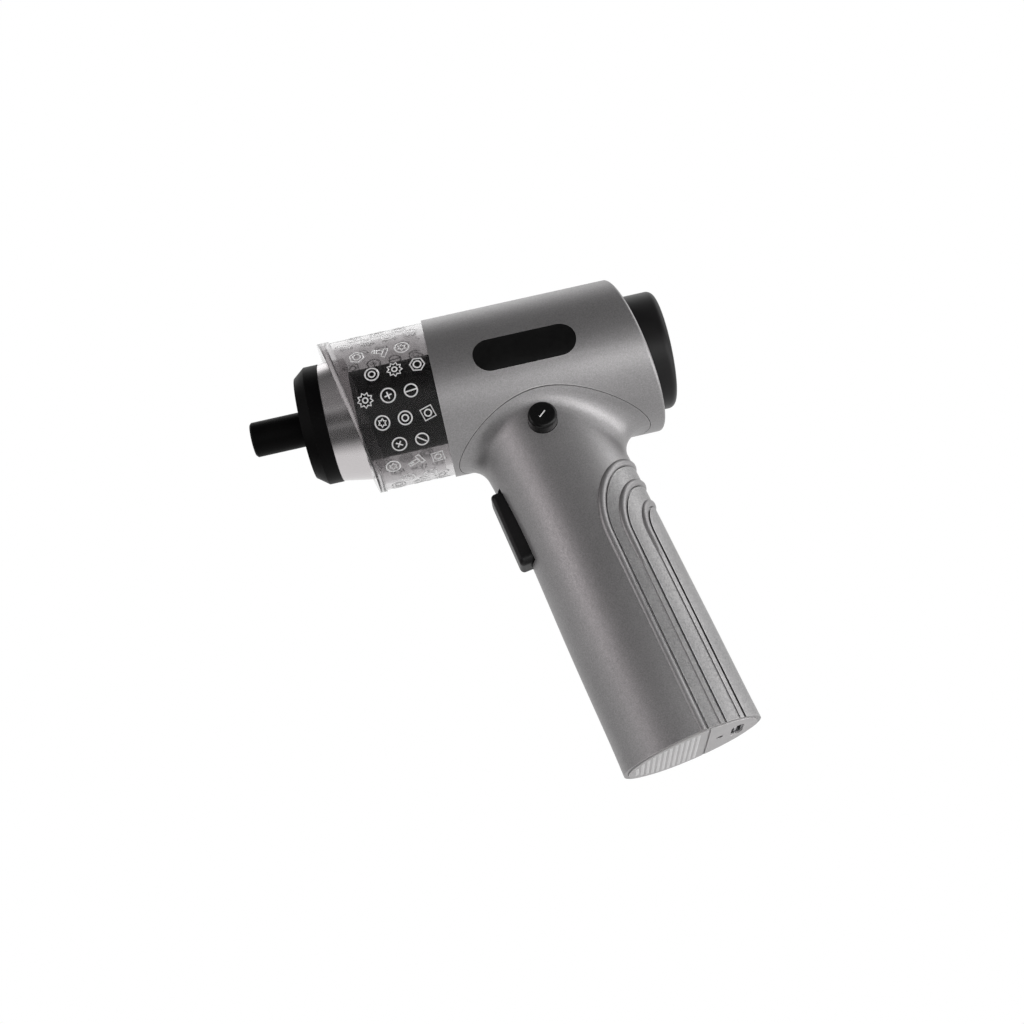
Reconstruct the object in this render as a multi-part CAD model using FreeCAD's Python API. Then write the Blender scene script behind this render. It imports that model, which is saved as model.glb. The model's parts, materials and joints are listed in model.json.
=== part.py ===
import FreeCAD, Part
import functools
import math
import os

V = FreeCAD.Vector

# Cordless pistol-grip screwdriver with a clear bit cover round its gear case.
# Frame: +Z up along the grip, +X toward the bit, +Y to the tool's left side.
# The origin is the centre of the flat base face.  Lengths in millimetres.
# Barrel pieces are drawn along their own axis, "a", from the grip axis forward.

# Overall layout
TILT = 9.8                    # nose-up angle of the barrel, degrees
AXIS_HEIGHT = 116.0           # barrel axis above the base, on the grip axis
REACH = 200.0                 # longer than any piece, for cutting tools

# Fits
SLIP = 0.1                    # gap between pieces that slide together
RUN = 0.05                    # radial gap of a running shaft
CLEAR = 0.35                  # gap between bodies that move apart
OVERCUT = 1.0                 # how far a cutting tool passes a face

# Barrel shell
BARREL_R = 22.75
SHELL_WALL = 2.2
SHELL_FRONT = 23.8
REAR_CUT_X = -32.7            # rear end, parallel to the grip
REAR_WALL = 2.4
REAR_LIP_R = 0.8
LEDGE_DEPTH = 1.3
LEDGE_LENGTH = 1.6
BORE_R = BARREL_R - SHELL_WALL

# Rear cap
CAP_R = 17.0
CAP_END = -42.2
CAP_EDGE_R = 2.0
CAP_WALL = 1.8
CAP_SPIGOT_R = 15.4

# Badge recess, bare plate
BADGE_LENGTH = 28.5
BADGE_HEIGHT = 9.2
BADGE_A = -2.0
BADGE_ANGLE = -5.5            # about the barrel axis from horizontal
BADGE_DEPTH = 0.8
BADGE_PROUD = 0.1

# Grip
GRIP_DEPTH_BASE = 19.15       # half depth, along X
GRIP_DEPTH_NECK = 18.6
GRIP_WIDTH = 14.25            # half width, along Y
GRIP_DEPTH_TOP = 19.4
GRIP_WIDTH_TOP = 18.6
GRIP_TOP_SHIFT = 3.0          # forward shift of the grip's top section
NECK_Z = 70.0
NECK_POWER = 1.5              # how late the neck swells toward the barrel
GRIP_WALL = 2.6
GRIP_FOOT = 0.3               # grip rim above the base face
SADDLE_FILLET = 7.5
SADDLE_DEPTH = 26.9           # half length of the saddle seam, along X
SADDLE_WIDTH = 18.5           # half width of the saddle seam, along Y
SADDLE_X = -1.2
SADDLE_DROP = 9.0             # top of the saddle below the barrel axis
SEAM = 0.18                   # gap at the saddle seam, seen as a dark line

# Grip panel with nested arches: straight line X, spring Z, crown Z, crown X
ARCHES = (
    (-2.8, 57.0, 76.6, -17.3),
    (-7.8, 56.0, 70.3, -18.0),
    (-13.4, 55.0, 64.0, -18.6),
)
PANEL_T = 1.2
GROOVE_WIDTH = 0.7
GROOVE_DEPTH = 0.5
BEAD_WIDTH = 1.0
BEAD_HEIGHT = 0.3

# Base cap, charge port
BASE_INSET = 1.2
BASE_T = 2.2
SKIRT_T = 1.3
SKIRT_TOP = 6.8
SKIRT_REAR_X = -8.5
PORT_X = -12.3
PORT_LENGTH = 8.94
PORT_WIDTH = 3.26
PORT_WALL = 0.3
PORT_SINK = 0.5
TONGUE_LENGTH = 6.7
TONGUE_T = 0.7
LAMP_X = -7.4
LAMP_R = 0.9
DIVIDER_X = -3.4
DIVIDER_WIDTH = 0.7
DIVIDER_DEPTH = 0.4

# Trigger
TRIGGER_LOW = 62.3
TRIGGER_HIGH = 84.9
TRIGGER_WIDTH = 8.4
TRIGGER_FACE_X = 21.6
TRIGGER_EDGE_R = 1.2
TRIGGER_CORNER_R = 2.0
TRIGGER_FLANGE_X = 13.4       # front of the hidden flange
TRIGGER_FLANGE_T = 1.5
TRIGGER_FLANGE_RIM = 1.2
TRIGGER_TRAVEL = 2.5
STEM_R = 1.5
SPRING_R = 2.5
SPRING_WIRE_R = 0.3
SPRING_TURNS = 4
SWITCH_WIDTH = 10.0
SWITCH_LOW = 65.0
SWITCH_HIGH = 81.0
SWITCH_FRONT_X = 6.8
SWITCH_DEPTH = 10.5

# Side button
BUTTON_X = 1.3
BUTTON_Z = 94.4
BUTTON_R = 4.0
BUTTON_FACE_Y = 19.3
BUTTON_EDGE_R = 1.0
BUTTON_FLANGE_R = 5.0
BUTTON_FLANGE_T = 1.0
BUTTON_FLANGE_Y = 12.6        # inner face of the hidden flange
BUTTON_TRAVEL = 0.9
TACT_SIZE = 6.0
TACT_HEIGHT = 2.0
TACT_PLUNGER_R = 1.6
TACT_PLUNGER_RISE = 1.0
BOARD_T = 1.2
BUTTON_BOARD_LENGTH = 15.0
BUTTON_BOARD_LOW = 86.5
BUTTON_BOARD_HIGH = 98.0
POST_R = 1.5

# Battery and boards
CELL_R = 9.1
CELL_LENGTH = 50.0
CELL_X = -5.2
CELL_EDGE_R = 0.9
TAB_WIDTH = 7.3
TAB_T = 0.4
SHELF_T = 1.2
SHELF_Z = 8.2
CONTROL_X = 7.6
CONTROL_WIDTH = 17.0
CONTROL_HEIGHT = 40.0
CONTROL_RISE = 4.0            # board's foot above the shelf
CONTROL_CHIPS = 3
RAIL_GRIP = 1.0               # board edge held by each rail

# Grip screws: X, Z of each
GRIP_SCREWS = ((12.6, 20.0), (12.6, 49.0), (-8.5, 84.0))
SCREW_R = 1.2
SCREW_HEAD_R = 2.2
SCREW_HEAD_T = 1.4
BOSS_R = 2.9
SCREW_HEAD_Y = 4.5            # depth of the head seat from the mid plane

# Motor
MOTOR_R = 12.2
MOTOR_LENGTH = 31.0
MOTOR_FRONT = 8.0
CAN_T = 0.6
BELL_T = 3.2
MAGNET_T = 2.4
SHAFT_R = 1.15
ARMATURE_GAP = 0.6
ARMATURE_LENGTH = 17.0
COMMUTATOR_R = 3.2
COMMUTATOR_LENGTH = 4.5
POLES = 3
POLE_SLOT_R = 2.9
POLE_SLOT_ORBIT = 7.3
BRUSH_WIDTH = 3.0
BRUSH_LOW = 6.1
BRUSH_HIGH = 9.2
BOSS_HOLE_R = 3.2             # hole for the can's front boss
CRADLE_A = -19.0
CRADLE_LENGTH = 6.0
CRADLE_WINDOWS = 8

# Gear train, two planet stages in one ring
MODULE = 0.55
SUN_TEETH = 12
PLANET_TEETH = 12
RING_TEETH = 36
TOOTH_TIP = 0.9               # tip above the pitch line, in modules
TOOTH_ROOT = 1.2              # root below the pitch line, in modules
TOOTH_SHARES = (0.36, 0.22, 0.10)   # half tooth at root, pitch and tip, share of the pitch
PLANETS = 3
GEAR_WIDTH = 4.2
CARRIER_T = 2.2
CARRIER_R = 9.0
PIN_R = 0.95
STAGE_GAP = 0.4
RING_RIM = 0.8
PLATE_T = 2.0
PLATE_R = 14.6

# Gear case and front bearings
CASE_R = 13.0
CASE_FLANGE_R = 15.6
CASE_FLANGE_T = 2.4
CASE_FRONT = 49.5
CASE_CHAMFER = 1.0
BEARING_R = 7.5
BEARING_WIDTH = 4.0
BEARING_LIP = 0.8
CASE_SCREW_R = 16.6           # radius of the screw circle
CASE_EAR_R = 3.2
MOUNT_T = 3.6

# Bit holder
HOLDER_R = 5.0
HOLDER_FRONT = 77.6
HOLDER_SHAFT_R = 4.0
HOLDER_CHAMFER = 0.5
HEX_FLATS = 6.45
HEX_DEPTH = 14.0
MAGNET_R = 2.6
BIT_MAGNET_T = 3.0
DRIVE_R = 3.0

# Nose: cup, cone and collar
CUP_R = 22.1
CUP_WALL = 1.8
CUP_STEP = 2.0
SPIGOT_LENGTH = 6.0
SPIGOT_WALL = 1.5
SEAL_WIDTH = 1.2
SEAL_DEPTH = 0.6
SEAL_SETBACK = 2.4
FLANGE_R = 22.5
FLANGE_X = 46.6
FLANGE_T = 1.25
FLANGE_LEAN = 1.85            # lean of the cone flange's front face, degrees
CONE_R_FRONT = 16.8
CONE_FLARE = 10.0             # degrees
CONE_WALL = 1.6
CONE_SPIGOT = 2.2
CONE_SPIGOT_R = 17.2
COLLAR_REAR = 55.1
COLLAR_FRONT = 62.3
COLLAR_R = 17.0
COLLAR_FACE_R = 14.5
COLLAR_CHAMFER = 3.2
COLLAR_WALL = 1.8
COLLAR_SPIGOT = 2.6

# Work light
LAMP_BOARD_T = 1.2
LAMP_BOARD_R = 12.6
LEDS = 4
LED_R = 1.5
LED_HEIGHT = 1.6
LED_PCD_R = 10.4
LED_START = 135.0


def place(shape):
    """Move a piece from the barrel's own axes to the tool's frame."""
    moved = shape.copy()
    moved.rotate(V(0, 0, 0), V(0, 1, 0), -TILT)
    moved.translate(V(0, 0, AXIS_HEIGHT))
    return moved


def rod(radius, a0, a1):
    """Cylinder on the barrel axis."""
    return Part.makeCylinder(radius, a1 - a0, V(a0, 0, 0), V(1, 0, 0))


def tube(outer, inner, a0, a1):
    """Hollow cylinder on the barrel axis."""
    return rod(outer, a0, a1).cut(rod(inner, a0 - OVERCUT, a1 + OVERCUT))


def turned(profile):
    """Solid turned about the barrel axis from (a, r) points."""
    points = [V(a, 0, r) for a, r in profile]
    wire = Part.makePolygon(points + [points[0]])
    return Part.Face(wire).revolve(V(0, 0, 0), V(1, 0, 0), 360)


def block(x0, x1, y0, y1, z0, z1):
    """Box from its limits."""
    return Part.makeBox(x1 - x0, y1 - y0, z1 - z0, V(x0, y0, z0))


def slab(x0, x1):
    """Thick plane across the tool between two X values."""
    return block(x0, x1, -REACH, REACH, -REACH, 2 * REACH)


def pin_y(radius, x, z, y0, y1):
    """Cylinder along Y."""
    return Part.makeCylinder(radius, y1 - y0, V(x, y0, z), V(0, 1, 0))


def upright(radius, x, y, z0, z1):
    """Cylinder along Z."""
    return Part.makeCylinder(radius, z1 - z0, V(x, y, z0), V(0, 0, 1))


def around(shape, count, start=90.0):
    """Copies of a barrel piece turned evenly about the barrel axis."""
    copies = []
    for index in range(count):
        turned_copy = shape.copy()
        turned_copy.rotate(V(0, 0, 0), V(1, 0, 0), start - 90.0 + 360.0 * index / count)
        copies.append(turned_copy)
    return copies


def save(name, shape):
    """Write one piece."""
    shape.removeSplitter().exportStep("parts/" + name + ".step")


def grip_size(z):
    """Half depth and half width of the grip at a height."""
    if z <= NECK_Z:
        share = z / NECK_Z
        return GRIP_DEPTH_BASE + (GRIP_DEPTH_NECK - GRIP_DEPTH_BASE) * share, GRIP_WIDTH
    share = ((z - NECK_Z) / (AXIS_HEIGHT - NECK_Z)) ** NECK_POWER
    depth = GRIP_DEPTH_NECK + (GRIP_DEPTH_TOP - GRIP_DEPTH_NECK) * share
    return depth, GRIP_WIDTH + (GRIP_WIDTH_TOP - GRIP_WIDTH) * share


def grip_shift(z):
    """Forward shift of the grip's section at a height."""
    if z <= NECK_Z:
        return 0.0
    return GRIP_TOP_SHIFT * ((z - NECK_Z) / (AXIS_HEIGHT - NECK_Z)) ** NECK_POWER


def oval(z, depth, width):
    """Ellipse wire at a height, centred on the grip's section there."""
    return Part.Wire([Part.Ellipse(V(grip_shift(z), 0, z), depth, width).toShape()])


@functools.lru_cache(maxsize=None)
def grip_form(inset):
    """Lofted grip, moved in by an inset, from under the base to the barrel axis."""
    neck_steps = 5
    heights = [-NECK_Z / 6, 0.0, NECK_Z / 3, 2 * NECK_Z / 3]
    heights += [NECK_Z + (AXIS_HEIGHT - NECK_Z) * step / neck_steps for step in range(neck_steps + 1)]
    sections = []
    for z in heights:
        depth, width = grip_size(z)
        sections.append(oval(z, depth - inset, width - inset))
    return Part.makeLoft(sections, True, False)


def oval_plate(depth, width, z0, z1):
    """Flat oval plate."""
    return Part.Face(oval(z0, depth, width)).extrude(V(0, 0, z1 - z0))


def above(z):
    """Half space over a height."""
    return block(-REACH, REACH, -REACH, REACH, z, 2 * REACH)


def saddle_prism(extra):
    """Upright oval prism that bounds the grip's saddle."""
    face = Part.Face(Part.Wire([Part.Ellipse(V(SADDLE_X, 0, 0), SADDLE_DEPTH + extra,
                                             SADDLE_WIDTH + extra).toShape()]))
    return face.extrude(V(0, 0, AXIS_HEIGHT - SADDLE_DROP))


def arch_outline(arch, offset):
    """Region behind one arch line, seen from the side; the offset moves the line outward."""
    line_x, spring_z, crown_z, crown_x = arch
    centre = V(crown_x, 0, spring_z)
    crown = V(crown_x, 0, crown_z + offset)
    side = V(line_x + offset, 0, spring_z)
    rise = crown_z + offset - spring_z
    run = line_x + offset - crown_x
    if rise >= run:
        curve = Part.ArcOfEllipse(Part.Ellipse(crown, side, centre), 0, math.pi / 2)
    else:
        curve = Part.ArcOfEllipse(Part.Ellipse(side, crown, centre), 0, math.pi / 2)
    foot = V(line_x + offset, 0, -REACH)
    back_foot = V(-REACH, 0, -REACH)
    back_crown = V(-REACH, 0, crown_z + offset)
    edges = [
        Part.makeLine(foot, side),
        curve.toShape(),
        Part.makeLine(crown, back_crown),
        Part.makeLine(back_crown, back_foot),
        Part.makeLine(back_foot, foot),
    ]
    face = Part.Face(Part.Wire(Part.__sortEdges__(edges)))
    face.translate(V(0, -REACH, 0))
    return face.extrude(V(0, 2 * REACH, 0))


def arch_band(arch, inner, outer):
    """Strip along one arch line between two offsets."""
    return arch_outline(arch, outer).cut(arch_outline(arch, inner))


def grip_skin(outer_inset, inner_inset):
    """Layer of the grip between two insets, above the grip's foot."""
    return grip_form(outer_inset).cut(grip_form(inner_inset)).common(above(GRIP_FOOT))


def joined_envelope():
    """Barrel and grip flowing into each other."""
    barrel = place(rod(BARREL_R, -2 * BARREL_R, SHELL_FRONT + BARREL_R))
    grip = grip_form(0)
    joined = barrel.fuse(grip)
    top_depth = grip_size(AXIS_HEIGHT)[0]
    meet = []
    for edge in joined.Edges:
        box = edge.BoundBox
        inside = max(abs(box.XMin), abs(box.XMax)) < top_depth + GRIP_TOP_SHIFT and box.YMax > GRIP_WIDTH / 2
        if inside and box.ZMin > NECK_Z:
            meet.append(edge)
    return joined.makeFillet(SADDLE_FILLET, meet)


def pill(length, height, y0, y1):
    """Rounded bar along the barrel axis, standing out along Y."""
    half = (length - height) / 2
    bar = block(-half, half, y0, y1, -height / 2, height / 2)
    for end in (-half, half):
        bar = bar.fuse(pin_y(height / 2, end, 0, y0, y1))
    return bar


def badge_form(gap):
    """Badge plate wrapped on the barrel; the gap widens it for its recess."""
    form = pill(BADGE_LENGTH + 2 * gap, BADGE_HEIGHT + 2 * gap, 0, REACH)
    form.translate(V(BADGE_A, 0, 0))
    form.rotate(V(0, 0, 0), V(1, 0, 0), BADGE_ANGLE)
    layer = tube(BARREL_R + BADGE_PROUD, BARREL_R - BADGE_DEPTH - gap, -REACH, REACH)
    return place(form.common(layer))


def barrel_shell():
    """Grey barrel tube with a slanted rear wall and the saddle opening."""
    shell = place(rod(BARREL_R, -REACH, SHELL_FRONT)).common(slab(REAR_CUT_X, REACH))
    rear_rim = [edge for edge in shell.Edges if edge.BoundBox.XMax < REAR_CUT_X + CLEAR]
    shell = shell.makeFillet(REAR_LIP_R, rear_rim)
    hollow = place(rod(BORE_R, -REACH, REACH)).common(slab(REAR_CUT_X + REAR_WALL, REACH))
    shell = shell.cut(hollow)
    shell = shell.cut(place(rod(CAP_SPIGOT_R + SLIP, -REACH, 0)))
    ledge = tube(BORE_R + SLIP, BORE_R - LEDGE_DEPTH, MOUNT_REAR - LEDGE_LENGTH, MOUNT_REAR)
    shell = shell.fuse(place(ledge))
    shell = shell.cut(saddle_prism(SEAM))
    return shell.cut(badge_form(SLIP))


def rear_cap():
    """Black end cap seated on the slanted wall, with a spigot through it."""
    body = rod(CAP_R, CAP_END, 0)
    back_rim = [edge for edge in body.Edges if edge.BoundBox.XMax < CAP_END + CLEAR]
    body = body.makeFillet(CAP_EDGE_R, back_rim)
    cap = place(body).common(slab(-REACH, REAR_CUT_X))
    spigot = place(rod(CAP_SPIGOT_R, CAP_END + CAP_WALL, 0))
    cap = cap.fuse(spigot.common(slab(-REACH, REAR_CUT_X + REAR_WALL)))
    return cap.cut(place(rod(CAP_SPIGOT_R - CAP_WALL, CAP_END + CAP_WALL, 0)))


def grip_hollow():
    """Space inside the grip and under the barrel bore."""
    return grip_form(GRIP_WALL).fuse(place(rod(BORE_R, -REACH / 2, REACH / 2)))


def grip_shelves():
    """Ribs across the grip that hold the cell at both ends."""
    cell_low = SHELF_Z + SHELF_T
    shelf_heights = (SHELF_Z, cell_low + CELL_LENGTH + 2 * TAB_T)
    inside = grip_form(GRIP_WALL - SLIP)
    shelves = []
    for low in shelf_heights:
        strip = block(-REACH, CELL_X + CELL_R, -REACH, REACH, low, low + SHELF_T)
        shelves.append(strip.common(inside))
    return shelves


def grip_bosses():
    """Posts along Y that take the grip screws."""
    inside = grip_form(GRIP_WALL - SLIP)
    return [pin_y(BOSS_R, x, z, -REACH, REACH).common(inside) for x, z in GRIP_SCREWS]


def board_rails():
    """Rails that grip the edges of the control board."""
    inside = grip_form(GRIP_WALL - SLIP)
    rails = []
    for side in (-1, 1):
        edge_y = CONTROL_WIDTH / 2 - RAIL_GRIP
        y0, y1 = (edge_y, REACH) if side > 0 else (-REACH, -edge_y)
        rail = block(CONTROL_X + BOARD_T + SLIP / 2, CONTROL_X + 2 * BOARD_T, y0, y1,
                     CONTROL_LOW, CONTROL_LOW + CONTROL_HEIGHT)
        rails.append(rail.common(inside))
    return rails


def switch_ribs():
    """Ribs from both sides that hold the trigger switch."""
    inside = grip_form(GRIP_WALL - SLIP)
    mid = (SWITCH_LOW + SWITCH_HIGH) / 2
    quarter = (SWITCH_HIGH - SWITCH_LOW) / 4
    x0 = SWITCH_FRONT_X - SWITCH_DEPTH
    ribs = []
    for y0, y1 in ((SWITCH_WIDTH / 2, REACH), (-REACH, -SWITCH_WIDTH / 2)):
        for low in (mid - quarter, mid + quarter - SHELF_T):
            rib = block(x0 + SHELF_T, SWITCH_FRONT_X - SHELF_T, y0, y1, low, low + SHELF_T)
            ribs.append(rib.common(inside))
    return ribs


def button_posts():
    """Posts on the left half that carry the button's board."""
    inside = grip_form(GRIP_WALL - SLIP)
    posts = []
    for x in (BUTTON_X - BUTTON_BOARD_LENGTH / 2 + POST_R, BUTTON_X + BUTTON_BOARD_LENGTH / 2 - POST_R):
        post = pin_y(POST_R, x, BUTTON_BOARD_LOW + POST_R, BUTTON_BOARD_Y + BOARD_T, REACH)
        posts.append(post.common(inside))
    return posts


def grip_body():
    """Whole hollow grip with its saddle, before it is split in two halves."""
    solid = joined_envelope().common(saddle_prism(0)).common(above(GRIP_FOOT))
    solid = solid.cut(grip_hollow())
    pieces = grip_shelves() + grip_bosses() + board_rails() + switch_ribs()
    solid = solid.fuse(pieces)
    bead = arch_band(ARCHES[0], SLIP, SLIP + BEAD_WIDTH).common(grip_skin(-BEAD_HEIGHT, BEAD_HEIGHT))
    solid = solid.fuse(bead)
    panel_room = arch_outline(ARCHES[0], SLIP).cut(grip_form(PANEL_T + SLIP))
    solid = solid.cut(panel_room)
    slot_half = TRIGGER_WIDTH / 2 + CLEAR
    solid = solid.cut(block(TRIGGER_FLANGE_X - TRIGGER_FLANGE_T, REACH, -slot_half, slot_half,
                            TRIGGER_LOW - CLEAR, TRIGGER_HIGH + CLEAR))
    cell_room = upright(CELL_R + SLIP, CELL_X, 0, SHELF_Z + SHELF_T, CELL_TOP)
    return solid.cut(cell_room)


def grip_halves():
    """Left and right grip halves with their screw holes and the button hole."""
    whole = grip_body()
    left = whole.common(block(-REACH, REACH, 0, REACH, -REACH, 2 * REACH))
    right = whole.common(block(-REACH, REACH, -REACH, 0, -REACH, 2 * REACH))
    left = left.fuse(button_posts())
    left = left.cut(pin_y(BUTTON_R + SLIP, BUTTON_X, BUTTON_Z, 0, REACH))
    left = left.cut(pin_y(BUTTON_FLANGE_R + CLEAR, BUTTON_X, BUTTON_Z, BUTTON_BOARD_Y,
                          BUTTON_FLANGE_Y + BUTTON_FLANGE_T + CLEAR))
    for x, z in GRIP_SCREWS:
        left = left.cut(pin_y(SCREW_R + SLIP / 2, x, z, 0, SCREW_HEAD_Y + SLIP))
        right = right.cut(pin_y(SCREW_R + SLIP, x, z, -REACH, 0))
        right = right.cut(pin_y(SCREW_HEAD_R + SLIP, x, z, -REACH, -SCREW_HEAD_Y))
    return left, right


def grip_panel():
    """Rear grip panel inside the first arch, with the inner arches cut in it."""
    panel = grip_skin(0, PANEL_T).common(arch_outline(ARCHES[0], 0))
    for arch in ARCHES[1:]:
        bead = arch_band(arch, 0, BEAD_WIDTH).common(grip_skin(-BEAD_HEIGHT, BEAD_HEIGHT))
        panel = panel.fuse(bead)
    for arch in ARCHES:
        groove = arch_band(arch, -GROOVE_WIDTH, 0).cut(grip_form(GROOVE_DEPTH))
        panel = panel.cut(groove)
    return panel


def port_slot(grow, z0, z1):
    """Rounded slot of the charge port, long side across the tool."""
    half = (PORT_LENGTH - PORT_WIDTH) / 2
    radius = PORT_WIDTH / 2 + grow
    slot = block(PORT_X - radius, PORT_X + radius, -half, half, z0, z1)
    for end in (-half, half):
        slot = slot.fuse(upright(radius, PORT_X, end, z0, z1))
    return slot


def base_cap():
    """Oval base plate with a skirt inside the grip."""
    depth, width = grip_size(0)
    plate = oval_plate(depth - BASE_INSET, width - BASE_INSET, 0, BASE_T)
    skirt_depth = depth - GRIP_WALL - 2 * SLIP
    skirt_width = width - GRIP_WALL - 2 * SLIP
    skirt = oval_plate(skirt_depth, skirt_width, BASE_T, SKIRT_TOP)
    skirt = skirt.cut(oval_plate(skirt_depth - SKIRT_T, skirt_width - SKIRT_T, 0, SKIRT_TOP))
    skirt = skirt.cut(slab(-REACH, SKIRT_REAR_X))
    cap = plate.fuse(skirt)
    cap = cap.cut(port_slot(SLIP, -OVERCUT, SKIRT_TOP))
    cap = cap.cut(upright(LAMP_R + SLIP, LAMP_X, 0, -OVERCUT, SKIRT_TOP))
    return cap.cut(block(DIVIDER_X - DIVIDER_WIDTH, DIVIDER_X, -REACH, REACH, -OVERCUT, DIVIDER_DEPTH))


def base_room(grip):
    """Cut the seat of the base plate in a piece of the grip."""
    depth, width = grip_size(0)
    seat_depth = depth - BASE_INSET + SLIP
    seat_width = width - BASE_INSET + SLIP
    return grip.cut(oval_plate(seat_depth, seat_width, -OVERCUT, BASE_T + SLIP / 2))


def charge_port():
    """Metal port shell with its tongue, opening downward."""
    shell = port_slot(0, PORT_SINK, SKIRT_TOP)
    shell = shell.cut(port_slot(-PORT_WALL, 0, SKIRT_TOP - PORT_WALL))
    tongue = block(PORT_X - TONGUE_T / 2, PORT_X + TONGUE_T / 2, -TONGUE_LENGTH / 2, TONGUE_LENGTH / 2,
                   PORT_SINK + PORT_WALL, SKIRT_TOP - PORT_WALL)
    return shell.fuse(tongue)


def charge_board():
    """Oval board on the skirt that carries the port."""
    depth, width = grip_size(SKIRT_TOP)
    return oval_plate(depth - GRIP_WALL - 2 * SLIP, width - GRIP_WALL - 2 * SLIP, SKIRT_TOP,
                      SKIRT_TOP + BOARD_T)


def charge_lamp():
    """Light pipe of the charge lamp."""
    return upright(LAMP_R, LAMP_X, 0, SLIP, SKIRT_TOP)


def battery_cell():
    """Round cell with its raised contact."""
    low = SHELF_Z + SHELF_T + TAB_T
    cell = upright(CELL_R, CELL_X, 0, low, low + CELL_LENGTH)
    rims = [edge for edge in cell.Edges if isinstance(edge.Curve, Part.Circle)]
    return cell.makeFillet(CELL_EDGE_R, rims)


def battery_tab(low):
    """Flat contact strip at one end of the cell."""
    return block(CELL_X - CELL_R / 2, CELL_X + CELL_R, -TAB_WIDTH / 2, TAB_WIDTH / 2, low, low + TAB_T)


def control_board():
    """Upright board in front of the cell with its power switch and coil."""
    board = block(CONTROL_X, CONTROL_X + BOARD_T, -CONTROL_WIDTH / 2, CONTROL_WIDTH / 2, CONTROL_LOW,
                  CONTROL_LOW + CONTROL_HEIGHT)
    chip = CONTROL_WIDTH / 4
    for row in range(CONTROL_CHIPS):
        low = CONTROL_LOW + CONTROL_HEIGHT * (row + 1) / (CONTROL_CHIPS + 2)
        part = block(CONTROL_X - BOARD_T, CONTROL_X, -chip, chip / (row + 1), low, low + chip)
        board = board.fuse(part)
    return board


def trigger():
    """Long trigger with a hidden flange and a stem into its switch."""
    half = TRIGGER_WIDTH / 2
    back = TRIGGER_FLANGE_X - TRIGGER_FLANGE_T
    finger = block(back, TRIGGER_FACE_X, -half, half, TRIGGER_LOW, TRIGGER_HIGH)
    corners = [edge for edge in finger.Edges if edge.BoundBox.XLength > TRIGGER_CORNER_R]
    finger = finger.makeFillet(TRIGGER_CORNER_R, corners)
    outer = [edge for edge in finger.Edges if edge.BoundBox.XMin > TRIGGER_FACE_X - CLEAR]
    finger = finger.makeFillet(TRIGGER_EDGE_R, outer)
    rim = TRIGGER_FLANGE_RIM
    flange = block(back, TRIGGER_FLANGE_X, -half - rim, half + rim, TRIGGER_LOW - rim, TRIGGER_HIGH + rim)
    stem_end = SWITCH_FRONT_X - TRIGGER_TRAVEL
    stem = Part.makeCylinder(STEM_R, TRIGGER_FLANGE_X - stem_end, V(stem_end, 0, TRIGGER_MID), V(1, 0, 0))
    return finger.fuse([flange, stem])


def trigger_switch():
    """Switch block with the bore for the trigger's stem."""
    body = block(SWITCH_FRONT_X - SWITCH_DEPTH, SWITCH_FRONT_X, -SWITCH_WIDTH / 2, SWITCH_WIDTH / 2,
                 SWITCH_LOW, SWITCH_HIGH)
    depth = 2 * TRIGGER_TRAVEL + CLEAR
    bottom = V(SWITCH_FRONT_X - depth, 0, TRIGGER_MID)
    bore = Part.makeCylinder(STEM_R + RUN, depth + OVERCUT, bottom, V(1, 0, 0))
    return body.cut(bore)


def trigger_spring():
    """Coil spring between the switch and the trigger's flange, wound in half turns."""
    length = TRIGGER_FLANGE_X - TRIGGER_FLANGE_T - SWITCH_FRONT_X - 2 * SPRING_WIRE_R - SLIP
    rise = length / SPRING_TURNS / 2
    helix = Part.makeHelix(2 * rise, rise, SPRING_R)
    section = Part.Wire([Part.makeCircle(SPRING_WIRE_R, V(SPRING_R, 0, 0), V(0, 1, 0))])
    half_turn = Part.Wire(helix).makePipeShell([section], True, True)
    wound = []
    for index in range(2 * SPRING_TURNS):
        piece = half_turn.copy()
        piece.rotate(V(0, 0, 0), V(0, 0, 1), 180 * index)
        piece.translate(V(0, 0, rise * index))
        wound.append(piece)
    coil = wound[0].fuse(wound[1:])
    coil.rotate(V(0, 0, 0), V(0, 1, 0), 90)
    coil.translate(V(SWITCH_FRONT_X + SPRING_WIRE_R + SLIP / 2, 0, TRIGGER_MID))
    return coil


def side_button():
    """Round button with a retaining flange."""
    cap = pin_y(BUTTON_R, BUTTON_X, BUTTON_Z, BUTTON_FLANGE_Y, BUTTON_FACE_Y)
    rim = [edge for edge in cap.Edges if edge.BoundBox.YMin > BUTTON_FACE_Y - CLEAR]
    cap = cap.makeFillet(BUTTON_EDGE_R, rim)
    return cap.fuse(pin_y(BUTTON_FLANGE_R, BUTTON_X, BUTTON_Z, BUTTON_FLANGE_Y,
                          BUTTON_FLANGE_Y + BUTTON_FLANGE_T))


def button_board():
    """Small board behind the button."""
    return block(BUTTON_X - BUTTON_BOARD_LENGTH / 2, BUTTON_X + BUTTON_BOARD_LENGTH / 2, BUTTON_BOARD_Y,
                 BUTTON_BOARD_Y + BOARD_T, BUTTON_BOARD_LOW, BUTTON_BOARD_HIGH)


def button_switch():
    """Tact switch under the button."""
    low = BUTTON_BOARD_Y + BOARD_T
    half = TACT_SIZE / 2
    body = block(BUTTON_X - half, BUTTON_X + half, low, low + TACT_HEIGHT, BUTTON_Z - half, BUTTON_Z + half)
    return body.fuse(pin_y(TACT_PLUNGER_R, BUTTON_X, BUTTON_Z, low, TACT_TOP))


def grip_screw(x, z):
    """One grip screw, driven from the right side."""
    shank = pin_y(SCREW_R, x, z, -SCREW_HEAD_Y, SCREW_HEAD_Y)
    head = pin_y(SCREW_HEAD_R, x, z, -SCREW_HEAD_Y - SCREW_HEAD_T, -SCREW_HEAD_Y)
    return shank.fuse(head)


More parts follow.
